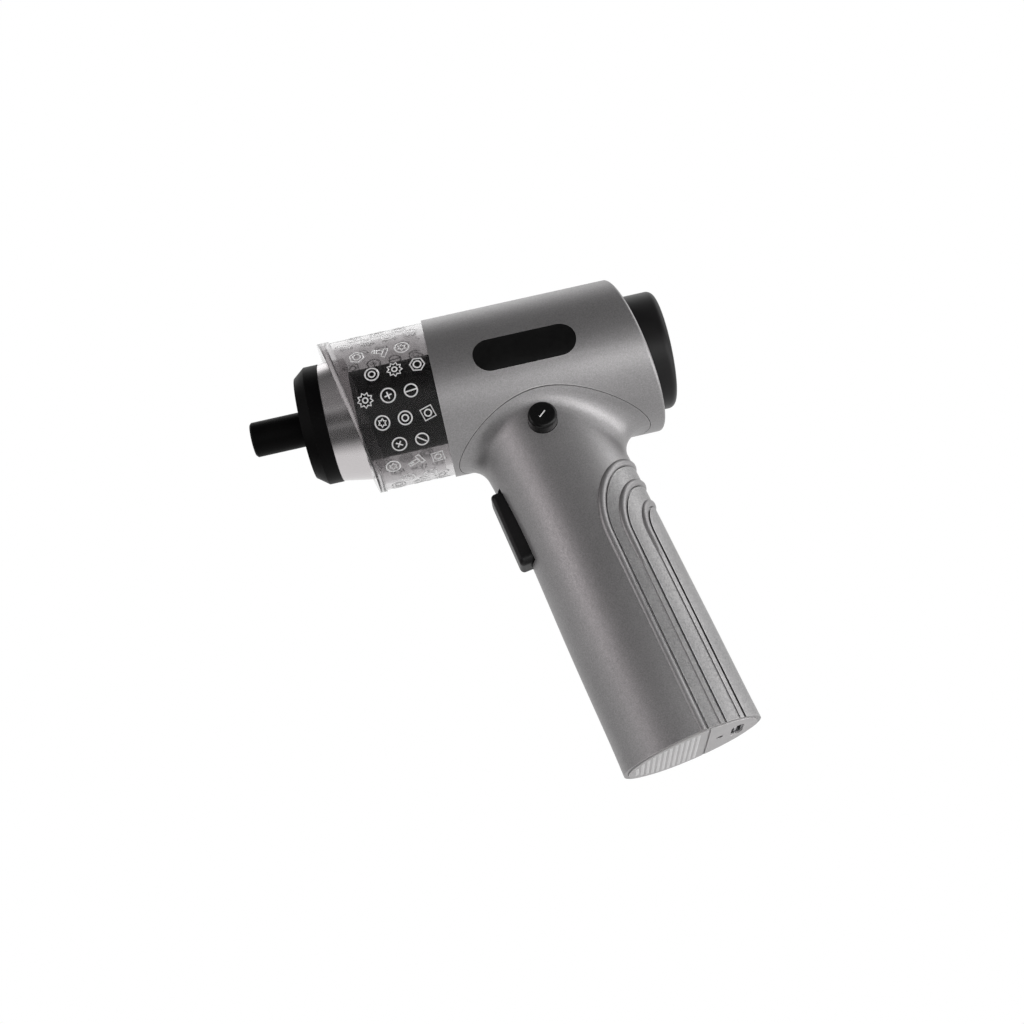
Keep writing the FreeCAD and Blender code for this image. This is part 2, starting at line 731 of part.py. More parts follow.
def gear_profile(teeth, depth_sign, phase):
    """Closed tooth outline in the plane across the barrel axis."""
    pitch_r = MODULE * teeth / 2
    tip_r = pitch_r + depth_sign * TOOTH_TIP * MODULE
    root_r = pitch_r - depth_sign * TOOTH_ROOT * MODULE
    step = 2 * math.pi / teeth
    rising = [(radius, -share) for radius, share in zip((root_r, pitch_r, tip_r), TOOTH_SHARES)]
    falling = [(radius, -share) for radius, share in reversed(rising)]
    points = []
    for tooth in range(teeth):
        for radius, share in rising + falling:
            angle = phase + (tooth + share) * step
            points.append(V(0, radius * math.cos(angle), radius * math.sin(angle)))
    return Part.Face(Part.makePolygon(points + [points[0]]))


def spur(teeth, phase, a0, a1, bore):
    """External gear on the barrel axis."""
    gear = gear_profile(teeth, 1, phase).extrude(V(a1 - a0, 0, 0))
    gear.translate(V(a0, 0, 0))
    return gear.cut(rod(bore, a0 - OVERCUT, a1 + OVERCUT))


def ring_gear():
    """Toothed ring shared by both planet stages."""
    room = gear_profile(RING_TEETH, -1, math.pi / 2).extrude(V(RING_END - RING_START, 0, 0))
    room.translate(V(RING_START, 0, 0))
    return rod(RING_R, RING_START, RING_END).cut(room)


def planet(index, a0):
    """One planet gear at its place round the sun."""
    angle = math.pi / 2 + 2 * math.pi * index / PLANETS
    gear = spur(PLANET_TEETH, angle + math.pi / PLANET_TEETH, a0, a0 + GEAR_WIDTH, PIN_R + RUN)
    gear.translate(V(0, PLANET_ORBIT * math.cos(angle), PLANET_ORBIT * math.sin(angle)))
    return gear


def carrier(a0):
    """Planet carrier disc with its pins toward the motor."""
    disc = rod(CARRIER_R, a0, a0 + CARRIER_T)
    pin = rod(PIN_R, a0 - GEAR_WIDTH - STAGE_GAP / 2, a0)
    pin.translate(V(0, 0, PLANET_ORBIT))
    return disc.fuse(around(pin, PLANETS))


def stage_one_carrier():
    """First carrier with the second stage's sun gear."""
    sun = spur(SUN_TEETH, math.pi / 2, CARRIER_ONE, STAGE_TWO + GEAR_WIDTH, SHAFT_R)
    body = carrier(CARRIER_ONE).fuse(sun)
    return body.fuse(rod(SHAFT_R + RUN, CARRIER_ONE, STAGE_TWO + GEAR_WIDTH))


def output_carrier():
    """Second carrier, keyed on the bit holder's tail."""
    return carrier(CARRIER_TWO).cut(rod(DRIVE_R + RUN, CARRIER_TWO + CARRIER_T / 2, REACH))


def bit_holder():
    """Bit holder with a hex socket, one piece with the output shaft."""
    tail = CARRIER_TWO + CARRIER_T / 2 + SLIP
    body = turned((
        (tail, 0), (tail, DRIVE_R), (SHAFT_START, DRIVE_R), (SHAFT_START, HOLDER_SHAFT_R),
        (HOLDER_STEP, HOLDER_SHAFT_R), (HOLDER_STEP, HOLDER_R), (HOLDER_FRONT - HOLDER_CHAMFER, HOLDER_R),
        (HOLDER_FRONT, HOLDER_R - HOLDER_CHAMFER), (HOLDER_FRONT, 0),
    ))
    corner_r = HEX_FLATS / math.sqrt(3)
    corners = [V(0, corner_r * math.cos(math.radians(60 * k)), corner_r * math.sin(math.radians(60 * k)))
               for k in range(6)]
    hexagon = Part.Face(Part.makePolygon(corners + [corners[0]])).extrude(V(HEX_DEPTH + OVERCUT, 0, 0))
    hexagon.translate(V(HOLDER_FRONT - HEX_DEPTH, 0, 0))
    magnet_room = rod(MAGNET_R + SLIP / 2, HOLDER_FRONT - HEX_DEPTH - BIT_MAGNET_T, HOLDER_FRONT - HEX_DEPTH)
    return body.cut(hexagon).cut(magnet_room)


def bit_magnet():
    """Magnet at the bottom of the hex socket."""
    return rod(MAGNET_R, HOLDER_FRONT - HEX_DEPTH - BIT_MAGNET_T, HOLDER_FRONT - HEX_DEPTH)


def bearing(a0):
    """Plain bush of the bit holder's shaft."""
    return tube(BEARING_R, HOLDER_SHAFT_R + RUN, a0, a0 + BEARING_WIDTH)


def gear_case():
    """Dark core seen through the cup: gear room, then the shaft's bearings."""
    start = MOTOR_FRONT + PLATE_T
    outer = turned((
        (start, 0), (start, CASE_FLANGE_R), (start + CASE_FLANGE_T, CASE_FLANGE_R),
        (start + CASE_FLANGE_T, CASE_R), (CASE_FRONT - CASE_CHAMFER, CASE_R),
        (CASE_FRONT, CASE_R - CASE_CHAMFER), (CASE_FRONT, 0),
    ))
    room_end = BEARING_ONE - BEARING_LIP
    case = outer.cut(rod(RING_R + SLIP / 2, start - OVERCUT, RING_END + SLIP))
    case = case.cut(rod(RING_R - RING_RIM, start - OVERCUT, room_end))
    case = case.cut(rod(BEARING_R - BEARING_LIP, start - OVERCUT, REACH))
    for seat in (BEARING_ONE, BEARING_TWO):
        case = case.cut(rod(BEARING_R + SLIP / 2, seat, seat + BEARING_WIDTH))
    ear = rod(CASE_EAR_R, start, start + CASE_FLANGE_T)
    ear.translate(V(0, 0, CASE_SCREW_R))
    ears = [piece.cut(rod(CASE_FLANGE_R - SLIP, start - OVERCUT, REACH)) for piece in around(ear, PLANETS)]
    case = case.fuse(ears)
    hole = rod(SCREW_R + SLIP, start - OVERCUT, start + CASE_FLANGE_T + OVERCUT)
    hole.translate(V(0, 0, CASE_SCREW_R))
    for piece in around(hole, PLANETS):
        case = case.cut(piece)
    return case


def gear_mount():
    """Ring inside the shell that carries the gear case."""
    front = MOTOR_FRONT + PLATE_T
    ring = tube(BORE_R - SLIP, PLATE_R + SLIP, MOUNT_REAR, front)
    window = rod(MOUNT_WINDOW_R, MOUNT_REAR - OVERCUT, front + OVERCUT)
    window.translate(V(0, 0, (BORE_R + PLATE_R) / 2))
    for piece in around(window, 2 * PLANETS, 90.0 + 180.0 / PLANETS / 2):
        ring = ring.cut(piece)
    hole = rod(SCREW_R + SLIP / 2, MOUNT_REAR - OVERCUT, front + OVERCUT)
    hole.translate(V(0, 0, CASE_SCREW_R))
    for piece in around(hole, PLANETS):
        ring = ring.cut(piece)
    return ring


def case_screws():
    """Three screws that hold the gear case on its mount."""
    head_a = MOTOR_FRONT + PLATE_T + CASE_FLANGE_T
    screw = rod(SCREW_R, MOUNT_REAR, head_a).fuse(rod(SCREW_HEAD_R, head_a, head_a + SCREW_HEAD_T))
    screw.translate(V(0, 0, CASE_SCREW_R))
    return Part.makeCompound(around(screw, PLANETS))


def motor_plate():
    """Plate between the motor and the gear room."""
    plate = rod(PLATE_R, MOTOR_FRONT, MOTOR_FRONT + PLATE_T)
    plate = plate.cut(rod(BOSS_HOLE_R, MOTOR_FRONT - OVERCUT, MOTOR_FRONT + PLATE_T + OVERCUT))
    return plate


def motor_can():
    """Steel can with a front bush boss."""
    rear = MOTOR_FRONT - MOTOR_LENGTH
    can = rod(MOTOR_R, rear, MOTOR_FRONT).cut(rod(MOTOR_R - CAN_T, rear - OVERCUT, MOTOR_FRONT - CAN_T))
    can = can.fuse(rod(BOSS_HOLE_R - SLIP, MOTOR_FRONT - CAN_T, MOTOR_FRONT + PLATE_T - SLIP))
    return can.cut(rod(SHAFT_R + RUN, rear, REACH))


def motor_magnets():
    """Two magnet arcs inside the can."""
    rear = MOTOR_FRONT - MOTOR_LENGTH / 2 - ARMATURE_LENGTH / 2
    ring = tube(MOTOR_R - CAN_T - SLIP / 2, MOTOR_R - CAN_T - MAGNET_T, rear, rear + ARMATURE_LENGTH)
    gap = block(-REACH, REACH, -MAGNET_T, MAGNET_T, -REACH, REACH)
    return ring.cut(gap)


def end_bell():
    """Plastic end of the motor with the rear bush and brush slots."""
    rear = MOTOR_FRONT - MOTOR_LENGTH
    bell = rod(MOTOR_R, rear - BELL_T, rear)
    bell = bell.fuse(rod(MOTOR_R - CAN_T - SLIP / 2, rear, rear + BELL_T / 2))
    bell = bell.cut(rod(SHAFT_R + RUN, rear - 2 * BELL_T, rear + BELL_T))
    half = BRUSH_WIDTH / 2
    slot = block(rear - 2 * BELL_T, rear - BELL_T / 2, -half, half, BRUSH_LOW, BRUSH_HIGH)
    for piece in around(slot, 2):
        bell = bell.cut(piece)
    return bell


def motor_shaft():
    """Motor shaft from the rear bush to the pinion."""
    return rod(SHAFT_R, MOTOR_FRONT - MOTOR_LENGTH - BELL_T + SLIP, STAGE_ONE + GEAR_WIDTH)


def armature():
    """Three pole stack on the shaft."""
    middle = MOTOR_FRONT - MOTOR_LENGTH / 2
    radius = MOTOR_R - CAN_T - MAGNET_T - ARMATURE_GAP
    stack = tube(radius, SHAFT_R, middle - ARMATURE_LENGTH / 2, middle + ARMATURE_LENGTH / 2)
    slot = rod(POLE_SLOT_R, middle - ARMATURE_LENGTH, middle + ARMATURE_LENGTH)
    slot.translate(V(0, 0, POLE_SLOT_ORBIT))
    for piece in around(slot, POLES):
        stack = stack.cut(piece)
    return stack


def commutator():
    """Copper drum behind the armature."""
    front = MOTOR_FRONT - MOTOR_LENGTH / 2 - ARMATURE_LENGTH / 2
    return tube(COMMUTATOR_R, SHAFT_R, front - COMMUTATOR_LENGTH, front)


def motor_pinion():
    """Sun gear of the first stage on the motor shaft."""
    return spur(SUN_TEETH, math.pi / 2, STAGE_ONE, STAGE_ONE + GEAR_WIDTH, SHAFT_R)


def motor_cradle():
    """Spoked ring that holds the motor in the shell."""
    ring = tube(BORE_R - SLIP, MOTOR_R + SLIP, CRADLE_A, CRADLE_A + CRADLE_LENGTH)
    window = rod((BORE_R - MOTOR_R) / 3, CRADLE_A - OVERCUT, CRADLE_A + CRADLE_LENGTH + OVERCUT)
    window.translate(V(0, 0, (BORE_R + MOTOR_R) / 2))
    for piece in around(window, CRADLE_WINDOWS):
        ring = ring.cut(piece)
    return ring


def led_board():
    """Ring board on the gear case's front face."""
    return tube(LAMP_BOARD_R, HOLDER_R + CLEAR, CASE_FRONT, CASE_FRONT + LAMP_BOARD_T)


def led_lamps():
    """Lamps on the ring board, facing forward."""
    base = CASE_FRONT + LAMP_BOARD_T
    lamp = rod(LED_R, base, base + LED_HEIGHT)
    rim = [edge for edge in lamp.Edges if edge.BoundBox.XMin > base + LED_HEIGHT / 2]
    lamp = lamp.makeFillet(LED_R / 2, rim)
    lamp.translate(V(0, 0, LED_PCD_R))
    return Part.makeCompound(around(lamp, LEDS, LED_START))


def clear_cup():
    """Clear cover: tube, slanted front flange and a rear spigot."""
    back = SHELL_FRONT + SLIP
    wall = place(tube(CUP_R, CUP_R - CUP_WALL, back, REACH)).common(slab(-REACH, FLANGE_X + FLANGE_T))
    step = place(tube(CUP_R, SPIGOT_R - SPIGOT_WALL, back, back + CUP_STEP))
    spigot = place(tube(SPIGOT_R, SPIGOT_R - SPIGOT_WALL, back - SPIGOT_LENGTH, back + CUP_STEP))
    flange = place(tube(FLANGE_R, CONE_SPIGOT_R + SLIP, 0, REACH)).common(slab(FLANGE_X, FLANGE_X + FLANGE_T))
    cup = wall.fuse([step, spigot, flange])
    seal_room = tube(SPIGOT_R + OVERCUT, SPIGOT_R - SEAL_DEPTH, SEAL_A, SEAL_A + SEAL_WIDTH)
    return cup.cut(place(seal_room))


def cup_seal():
    """Rubber ring in the spigot's groove."""
    return place(tube(BORE_R - RUN, SPIGOT_R - SEAL_DEPTH + RUN / 2, SEAL_A + RUN, SEAL_A + SEAL_WIDTH - RUN))


def nose_cone():
    """Frosted cone in front of the cup, with its own flange and spigot."""
    flare = math.tan(math.radians(CONE_FLARE))
    back = COLLAR_REAR - 2 * BARREL_R
    long = COLLAR_REAR - back
    front_x = FLANGE_X + 2 * FLANGE_T + SLIP
    outer = turned((
        (back, 0), (back, CONE_R_FRONT + long * flare), (COLLAR_REAR, CONE_R_FRONT), (COLLAR_REAR, 0),
    ))
    inner_front = CONE_R_FRONT - CONE_WALL
    inner_end = COLLAR_REAR + OVERCUT
    inner = turned((
        (back, 0), (back, inner_front + long * flare),
        (inner_end, inner_front - OVERCUT * flare), (inner_end, 0),
    ))
    cone = place(outer).common(slab(front_x - FLANGE_T, REACH))
    leaning = slab(0, front_x).rotated(V(front_x, 0, FLANGE_Z), V(0, 1, 0), FLANGE_LEAN)
    flange = place(rod(FLANGE_R, 0, REACH)).common(slab(front_x - FLANGE_T, REACH)).common(leaning)
    spigot = place(rod(CONE_SPIGOT_R, 0, REACH)).common(slab(FLANGE_X - CONE_SPIGOT, front_x))
    body = cone.fuse([flange, spigot])
    room = place(inner).common(slab(front_x, REACH))
    body = body.cut(room)
    bore = place(rod(CONE_SPIGOT_R - CONE_WALL, 0, COLLAR_REAR)).common(slab(-REACH, front_x + SLIP))
    return body.cut(bore)


def nose_collar():
    """Black collar with a chamfered front and a clearance hole for the bit holder."""
    hole = HOLDER_R + CLEAR + SLIP
    spigot_r = CONE_R_FRONT - CONE_WALL - SLIP
    room_r = spigot_r - COLLAR_WALL
    rear = COLLAR_REAR - COLLAR_SPIGOT
    return turned((
        (rear, room_r), (rear, spigot_r), (COLLAR_REAR, spigot_r), (COLLAR_REAR, COLLAR_R),
        (COLLAR_FRONT - COLLAR_CHAMFER, COLLAR_R), (COLLAR_FRONT, COLLAR_FACE_R), (COLLAR_FRONT, hole),
        (COLLAR_FRONT - COLLAR_WALL, hole), (COLLAR_FRONT - COLLAR_WALL, room_r),
    ))


# Places that follow from the sizes above
CELL_TOP = SHELF_Z + SHELF_T + CELL_LENGTH + 2 * TAB_T
CONTROL_LOW = SHELF_Z + SHELF_T + CONTROL_RISE
TRIGGER_MID = (TRIGGER_LOW + TRIGGER_HIGH) / 2
TACT_TOP = BUTTON_FLANGE_Y - BUTTON_TRAVEL - 2 * SLIP
BUTTON_BOARD_Y = TACT_TOP - TACT_PLUNGER_RISE - TACT_HEIGHT - BOARD_T
PLANET_ORBIT = MODULE * (SUN_TEETH + PLANET_TEETH) / 2
STAGE_ONE = MOTOR_FRONT + PLATE_T + STAGE_GAP
CARRIER_ONE = STAGE_ONE + GEAR_WIDTH + STAGE_GAP
STAGE_TWO = CARRIER_ONE + CARRIER_T + STAGE_GAP
CARRIER_TWO = STAGE_TWO + GEAR_WIDTH + STAGE_GAP
RING_R = MODULE * RING_TEETH / 2 + TOOTH_ROOT * MODULE + RING_RIM
RING_START = MOTOR_FRONT + PLATE_T
RING_END = CARRIER_TWO - STAGE_GAP / 2
SHAFT_START = CARRIER_TWO + CARRIER_T + STAGE_GAP
BEARING_ONE = SHAFT_START + STAGE_GAP
BEARING_TWO = CASE_FRONT - BEARING_WIDTH
HOLDER_STEP = CASE_FRONT + STAGE_GAP
MOUNT_REAR = MOTOR_FRONT + PLATE_T - MOUNT_T
MOUNT_WINDOW_R = (BORE_R - PLATE_R) / 3
SPIGOT_R = BORE_R - SLIP
SEAL_A = SHELL_FRONT - SEAL_SETBACK - SEAL_WIDTH
FLANGE_Z = AXIS_HEIGHT + FLANGE_X * math.tan(math.radians(TILT))


def main():
    """Build and write every piece."""
    os.makedirs("parts", exist_ok=True)
    save("barrel_shell", barrel_shell())
    save("rear_cap", rear_cap())
    save("badge_plate", badge_form(0))
    left, right = grip_halves()
    save("grip_left", base_room(left))
    save("grip_right", base_room(right))
    save("grip_panel", base_room(grip_panel()))
    save("base_cap", base_cap())
    save("charge_port", charge_port())
    save("charge_board", charge_board())
    save("charge_lamp", charge_lamp())
    save("battery_cell", battery_cell())
    save("battery_tab_low", battery_tab(SHELF_Z + SHELF_T))
    save("battery_tab_top", battery_tab(CELL_TOP - TAB_T))
    save("control_board", control_board())
    save("trigger", trigger())
    save("trigger_switch", trigger_switch())
    save("trigger_spring", trigger_spring())
    save("side_button", side_button())
    save("button_board", button_board())
    save("button_switch", button_switch())
    for index, (x, z) in enumerate(GRIP_SCREWS):
        save("grip_screw_%d" % (index + 1), grip_screw(x, z))
    barrel_pieces = {
        "motor_can": motor_can, "motor_magnets": motor_magnets, "motor_end_bell": end_bell,
        "motor_shaft": motor_shaft, "motor_armature": armature, "motor_commutator": commutator,
        "motor_pinion": motor_pinion, "motor_cradle": motor_cradle, "motor_plate": motor_plate,
        "gear_mount": gear_mount, "gear_case": gear_case, "case_screws": case_screws, "ring_gear": ring_gear,
        "stage_one_carrier": stage_one_carrier, "output_carrier": output_carrier, "bit_holder": bit_holder,
        "bit_magnet": bit_magnet, "led_board": led_board, "led_lamps": led_lamps, "nose_collar": nose_collar,
    }
    for name, make in barrel_pieces.items():
        save(name, place(make()))
    for name, seat in (("rear_bush", BEARING_ONE), ("front_bush", BEARING_TWO)):
        save(name, place(bearing(seat)))
    for index in range(PLANETS):
        save("planet_one_%d" % (index + 1), place(planet(index, STAGE_ONE)))
        save("planet_two_%d" % (index + 1), place(planet(index, STAGE_TWO)))
    save("clear_cup", clear_cup())
    save("cup_seal", cup_seal())
    save("nose_cone", nose_cone())


main()
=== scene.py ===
import json
import logging
import math
from dataclasses import dataclass
from enum import Enum
from typing import Optional, Sequence

import bmesh
import bpy
from bpy.types import Material, Mesh, Node, NodeOutputs, NodeSocket as Socket, NodeTree, Object
from mathutils import Matrix, Vector


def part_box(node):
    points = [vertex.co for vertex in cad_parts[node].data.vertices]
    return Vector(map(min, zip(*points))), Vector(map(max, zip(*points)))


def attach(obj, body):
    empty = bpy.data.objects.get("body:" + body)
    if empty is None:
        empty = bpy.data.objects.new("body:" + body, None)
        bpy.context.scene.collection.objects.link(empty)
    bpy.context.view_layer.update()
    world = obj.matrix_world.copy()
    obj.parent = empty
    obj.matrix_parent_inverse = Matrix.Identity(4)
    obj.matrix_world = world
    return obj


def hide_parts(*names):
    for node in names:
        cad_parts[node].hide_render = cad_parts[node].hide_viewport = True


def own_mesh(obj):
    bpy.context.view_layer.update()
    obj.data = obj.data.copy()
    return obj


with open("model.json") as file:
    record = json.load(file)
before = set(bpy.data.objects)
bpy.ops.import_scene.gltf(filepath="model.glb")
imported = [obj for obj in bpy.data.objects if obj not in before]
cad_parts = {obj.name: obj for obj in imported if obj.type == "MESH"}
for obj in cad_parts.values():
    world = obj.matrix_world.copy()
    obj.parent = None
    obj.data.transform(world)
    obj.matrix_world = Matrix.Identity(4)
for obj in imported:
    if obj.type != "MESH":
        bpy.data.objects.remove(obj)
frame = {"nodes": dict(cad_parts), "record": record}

MM = 0.001
LOG = logging.getLogger("screwdriver")
SCALAR_RESULTS = ("DOT_PRODUCT", "LENGTH", "DISTANCE")
QUARTER_TURN = math.radians(90.0)
Pair = tuple[float, float]
Triple = tuple[float, float, float]
Colour = Triple


class Body(Enum):
    """Moving bodies that dressed pieces ride on."""

    HOUSING = "housing"
    CUP = "cup"
    BUTTON = "button"


class Slot(Enum):
    """Material slots of the record."""

    GREY_PAINT = "grey_paint"
    GRIP_PAINT = "grip_paint"
    BLACK_SATIN = "black_satin"
    BLACK_GLOSS = "black_gloss"
    BASE_GREY = "base_grey"
    CLEAR_PLASTIC = "clear_plastic"
    FROSTED_PLASTIC = "frosted_plastic"
    DARK_CASE = "dark_case"
    STEEL = "steel"
    GEAR_STEEL = "gear_steel"
    MAGNET = "magnet"
    COPPER = "copper"
    BELL_PLASTIC = "bell_plastic"
    CIRCUIT_BOARD = "circuit_board"
    LAMP_CLEAR = "lamp_clear"
    CELL_WRAP = "cell_wrap"
    NICKEL = "nickel"
    SEAL_RUBBER = "seal_rubber"


@dataclass(frozen=True)
class BarrelAxis:
    """Place of the barrel axis in the tool."""

    tilt: float = math.radians(9.8)
    height: float = 116.0 * MM

    @property
    def origin(self) -> Vector:
        """Point of the axis above the middle of the grip."""
        return Vector((0.0, 0.0, self.height))

    @property
    def ahead(self) -> Vector:
        """Direction of the nose."""
        return Vector((math.cos(self.tilt), 0.0, math.sin(self.tilt)))

    def matrix(self) -> Matrix:
        """Matrix from the barrel's own axes to the tool's frame."""
        return Matrix.Translation(self.origin) @ Matrix.Rotation(-self.tilt, 4, "Y")


AXIS = BarrelAxis()


class Graph:
    """Adds and links nodes in a shader or geometry tree."""

    def __init__(self, tree: NodeTree) -> None:
        """Keep the tree that nodes go into."""
        self.tree = tree

    def put(self, node: Node, inputs: dict[str, object]) -> None:
        """Set or link a node's inputs.

        Args:
            node: Node to set.
            inputs: Values or sockets by input name, with _ for a blank, or i0, i1 and so on by place.
        """
        for key, value in inputs.items():
            place = int(key[1:]) if key[0] == "i" and key[1:].isdigit() else key.replace("_", " ")
            if isinstance(value, Socket):
                self.tree.links.new(value, node.inputs[place])
            else:
                node.inputs[place].default_value = value

    def add(self, kind: str, settings: Optional[dict] = None, **inputs: object) -> Node:
        """Add one node.

        Args:
            kind: Node type name.
            settings: Node properties, set before its inputs.
            inputs: Inputs, as put takes them.

        Returns:
            The new node.
        """
        node = self.tree.nodes.new(kind)
        for key, value in (settings or {}).items():
            setattr(node, key, value)
        self.put(node, inputs)
        return node

    def out(self, kind: str, settings: Optional[dict] = None, **inputs: object) -> Socket:
        """First output of a new node, made as add makes it."""
        return self.add(kind, settings, **inputs).outputs[0]

    def math(self, operation: str, first: object, second: object = 0.0, third: object = 0.0) -> Socket:
        """Result of a math operation on up to three values."""
        return self.out("ShaderNodeMath", {"operation": operation}, i0=first, i1=second, i2=third)

    def vector(self, operation: str, first: object, second: object = (0.0, 0.0, 0.0)) -> Socket:
        """Result of a vector operation, a number or a vector."""
        node = self.add("ShaderNodeVectorMath", {"operation": operation}, i0=first, i1=second)
        return node.outputs["Value" if operation in SCALAR_RESULTS else "Vector"]

    def combine(self, **axes: object) -> Socket:
        """Vector from X, Y and Z values."""
        return self.out("ShaderNodeCombineXYZ", **axes)

    def join(self, parts: Sequence[Socket]) -> Socket:
        """Join geometries.

        Args:
            parts: Geometry sockets, in the order in which instances are picked from them.

        Returns:
            The joined geometry.
        """
        node = self.tree.nodes.new("GeometryNodeJoinGeometry")
        for part in reversed(parts):
            self.tree.links.new(part, node.inputs[0])
        return node.outputs[0]


class ShaderSketch(Graph):
    """A material with a Principled shader and helpers for procedural detail."""

    edge_rays: int = 6
    edge_span: Pair = (0.80, 0.985)

    def __init__(self, name: str) -> None:
        """Start an empty material.

        Args:
            name: Material name.
        """
        self.material = bpy.data.materials.new(name)
        self.material.use_nodes = True
        super().__init__(self.material.node_tree)
        self.tree.nodes.clear()
        self.shader = self.add("ShaderNodeBsdfPrincipled")
        self.output = self.add("ShaderNodeOutputMaterial", i0=self.shader.outputs[0])
        self.place = self.add("ShaderNodeTexCoord").outputs["Object"]

    def set(self, **values: object) -> None:
        """Set the shader's inputs by name, with _ for a blank."""
        self.put(self.shader, values)

    def stretched(self, scale: Triple, turn: Triple = (0.0, 0.0, 0.0)) -> Socket:
        """Object coordinates, turned by angles in radians and then stretched."""
        turned = self.out("ShaderNodeMapping", {"vector_type": "POINT"}, Vector=self.place, Rotation=turn)
        return self.out("ShaderNodeMapping", Vector=turned, Scale=scale)

    def noise(self, scale: float, detail: float = 2.0, vector: Optional[Socket] = None) -> Socket:
        """Noise at a scale per metre, on object coordinates unless others are given."""
        return self.out("ShaderNodeTexNoise", Vector=vector or self.place, Scale=scale, Detail=detail)

    def spread(self, value: Socket, low: float, high: float, start: float = 0.3, end: float = 0.7) -> Socket:
        """Map a value so that start gives low and end gives high."""
        return self.out("ShaderNodeMapRange", Value=value, From_Min=start, From_Max=end,
                        To_Min=low, To_Max=high)

    def mingle(self, *parts: tuple[Socket, float]) -> Socket:
        """Weighted sum of values.

        Args:
            parts: Values with their shares.

        Returns:
            The sum.
        """
        total: object = 0.0
        for value, share in parts:
            total = self.math("MULTIPLY_ADD", value, share, total)
        return total

    def shades(self, value: Socket, dark: Colour, light: Colour, span: Pair = (0.3, 0.7)) -> Socket:
        """Colour between two shades by a value.

        Args:
            value: Input socket.
            dark: Colour at the start of the span.
            light: Colour at its end.
            span: Values at which the shades are reached.

        Returns:
            The colour socket.
        """
        node = self.add("ShaderNodeValToRGB", Fac=value)
        for stop, position, colour in zip(node.color_ramp.elements, span, (dark, light)):
            stop.position = position
            stop.color = (*colour, 1.0)
        return node.outputs[0]

    def tinted(self, share: Socket, base: Socket, colour: Colour) -> Socket:
        """Base colour with a share of another colour over it."""
        node = self.add("ShaderNodeMix", {"data_type": "RGBA"}, i0=share, i6=base, i7=(*colour, 1.0))
        return node.outputs[2]

    def edges(self, radius: float) -> Socket:
        """Mask of worn edges.

        Args:
            radius: Width of the edge in metres.

        Returns:
            Socket that is 1 on edges and 0 on open faces.
        """
        bevel = self.out("ShaderNodeBevel", {"samples": self.edge_rays}, Radius=radius)
        normal = self.add("ShaderNodeNewGeometry").outputs["Normal"]
        return self.spread(self.vector("DOT_PRODUCT", bevel, normal), 1.0, 0.0, *self.edge_span)

    def wear(self, width: float, scale: float, cover: Pair) -> Socket:
        """Patchy mask of worn edges, by their width, a noise scale and the least and most cover."""
        patchy = self.spread(self.noise(scale), *cover)
        return self.math("MULTIPLY", self.edges(width), patchy)

    def bump(self, height: Socket, depth: float, strength: float) -> Socket:
        """Normal of a relief with a depth in metres."""
        return self.out("ShaderNodeBump", Height=height, Distance=depth, Strength=strength)


@dataclass(frozen=True)
class FlakePaint:
    """Grey satin paint with fine metal flake and lighter worn edges."""

    name: str
    dark: Colour
    light: Colour
    worn: Colour
    metallic: float = 0.85
    roughness: Pair = (0.38, 0.48)
    grain: float = 2600.0
    grain_depth: float = 0.03 * MM
    fleck_ratio: float = 2.2
    gloss_ratio: float = 0.7
    cloud: float = 55.0
    shares: Triple = (0.30, 0.55, 0.25)
    span: Pair = (0.28, 0.82)
    edge_width: float = 0.35 * MM
    wear_scale: float = 900.0
    wear: Pair = (0.25, 0.8)
    relief: float = 0.55

    def material(self) -> Material:
        """Make the material.

        Returns:
            The new material.
        """
        sketch = ShaderSketch(self.name)
        cells = sketch.add("ShaderNodeTexVoronoi", Vector=sketch.place, Scale=self.grain * self.fleck_ratio)
        fleck = sketch.out("ShaderNodeSeparateColor", i0=cells.outputs["Color"])
        fine = sketch.noise(self.grain, detail=3.0)
        cloud = sketch.noise(self.cloud, detail=3.0)
        mixed = sketch.mingle(*zip((fleck, fine, cloud), self.shares))
        worn = sketch.wear(self.edge_width, self.wear_scale, self.wear)
        base = sketch.tinted(worn, sketch.shades(mixed, self.dark, self.light, self.span), self.worn)
        rough = sketch.spread(sketch.noise(self.grain * self.gloss_ratio, detail=3.0), *self.roughness)
        sketch.set(Base_Color=base, Metallic=self.metallic, Roughness=rough,
                   Normal=sketch.bump(fine, self.grain_depth, self.relief))
        return sketch.material


@dataclass(frozen=True)
class MouldedPlastic:
    """Moulded plastic or rubber with a fine spark-eroded grain."""

    name: str
    dark: Colour
    light: Colour
    roughness: Pair
    grain: float = 5200.0
    grain_depth: float = 0.03 * MM
    edge: Optional[Colour] = None
    coat: float = 0.0
    coat_roughness: float = 0.08
    gloss: float = 0.5
    haze: float = 160.0
    colour_shares: Pair = (0.5, 0.5)
    gloss_shares: Pair = (0.4, 0.6)
    edge_width: float = 0.3 * MM
    wear_scale: float = 700.0
    wear: Pair = (0.1, 0.9)
    relief: float = 0.5

    def material(self) -> Material:
        """Make the material.

        Returns:
            The new material.
        """
        sketch = ShaderSketch(self.name)
        layers = (sketch.noise(self.grain, detail=3.0), sketch.noise(self.haze, detail=4.0))
        base = sketch.shades(sketch.mingle(*zip(layers, self.colour_shares)), self.dark, self.light)
        if self.edge is not None:
            worn = sketch.wear(self.edge_width, self.wear_scale, self.wear)
            base = sketch.tinted(worn, base, self.edge)
        rough = sketch.spread(sketch.mingle(*zip(layers, self.gloss_shares)), *self.roughness)
        sketch.set(Base_Color=base, Roughness=rough, Specular_IOR_Level=self.gloss, Coat_Weight=self.coat,
                   Coat_Roughness=self.coat_roughness,
                   Normal=sketch.bump(layers[0], self.grain_depth, self.relief))
        return sketch.material


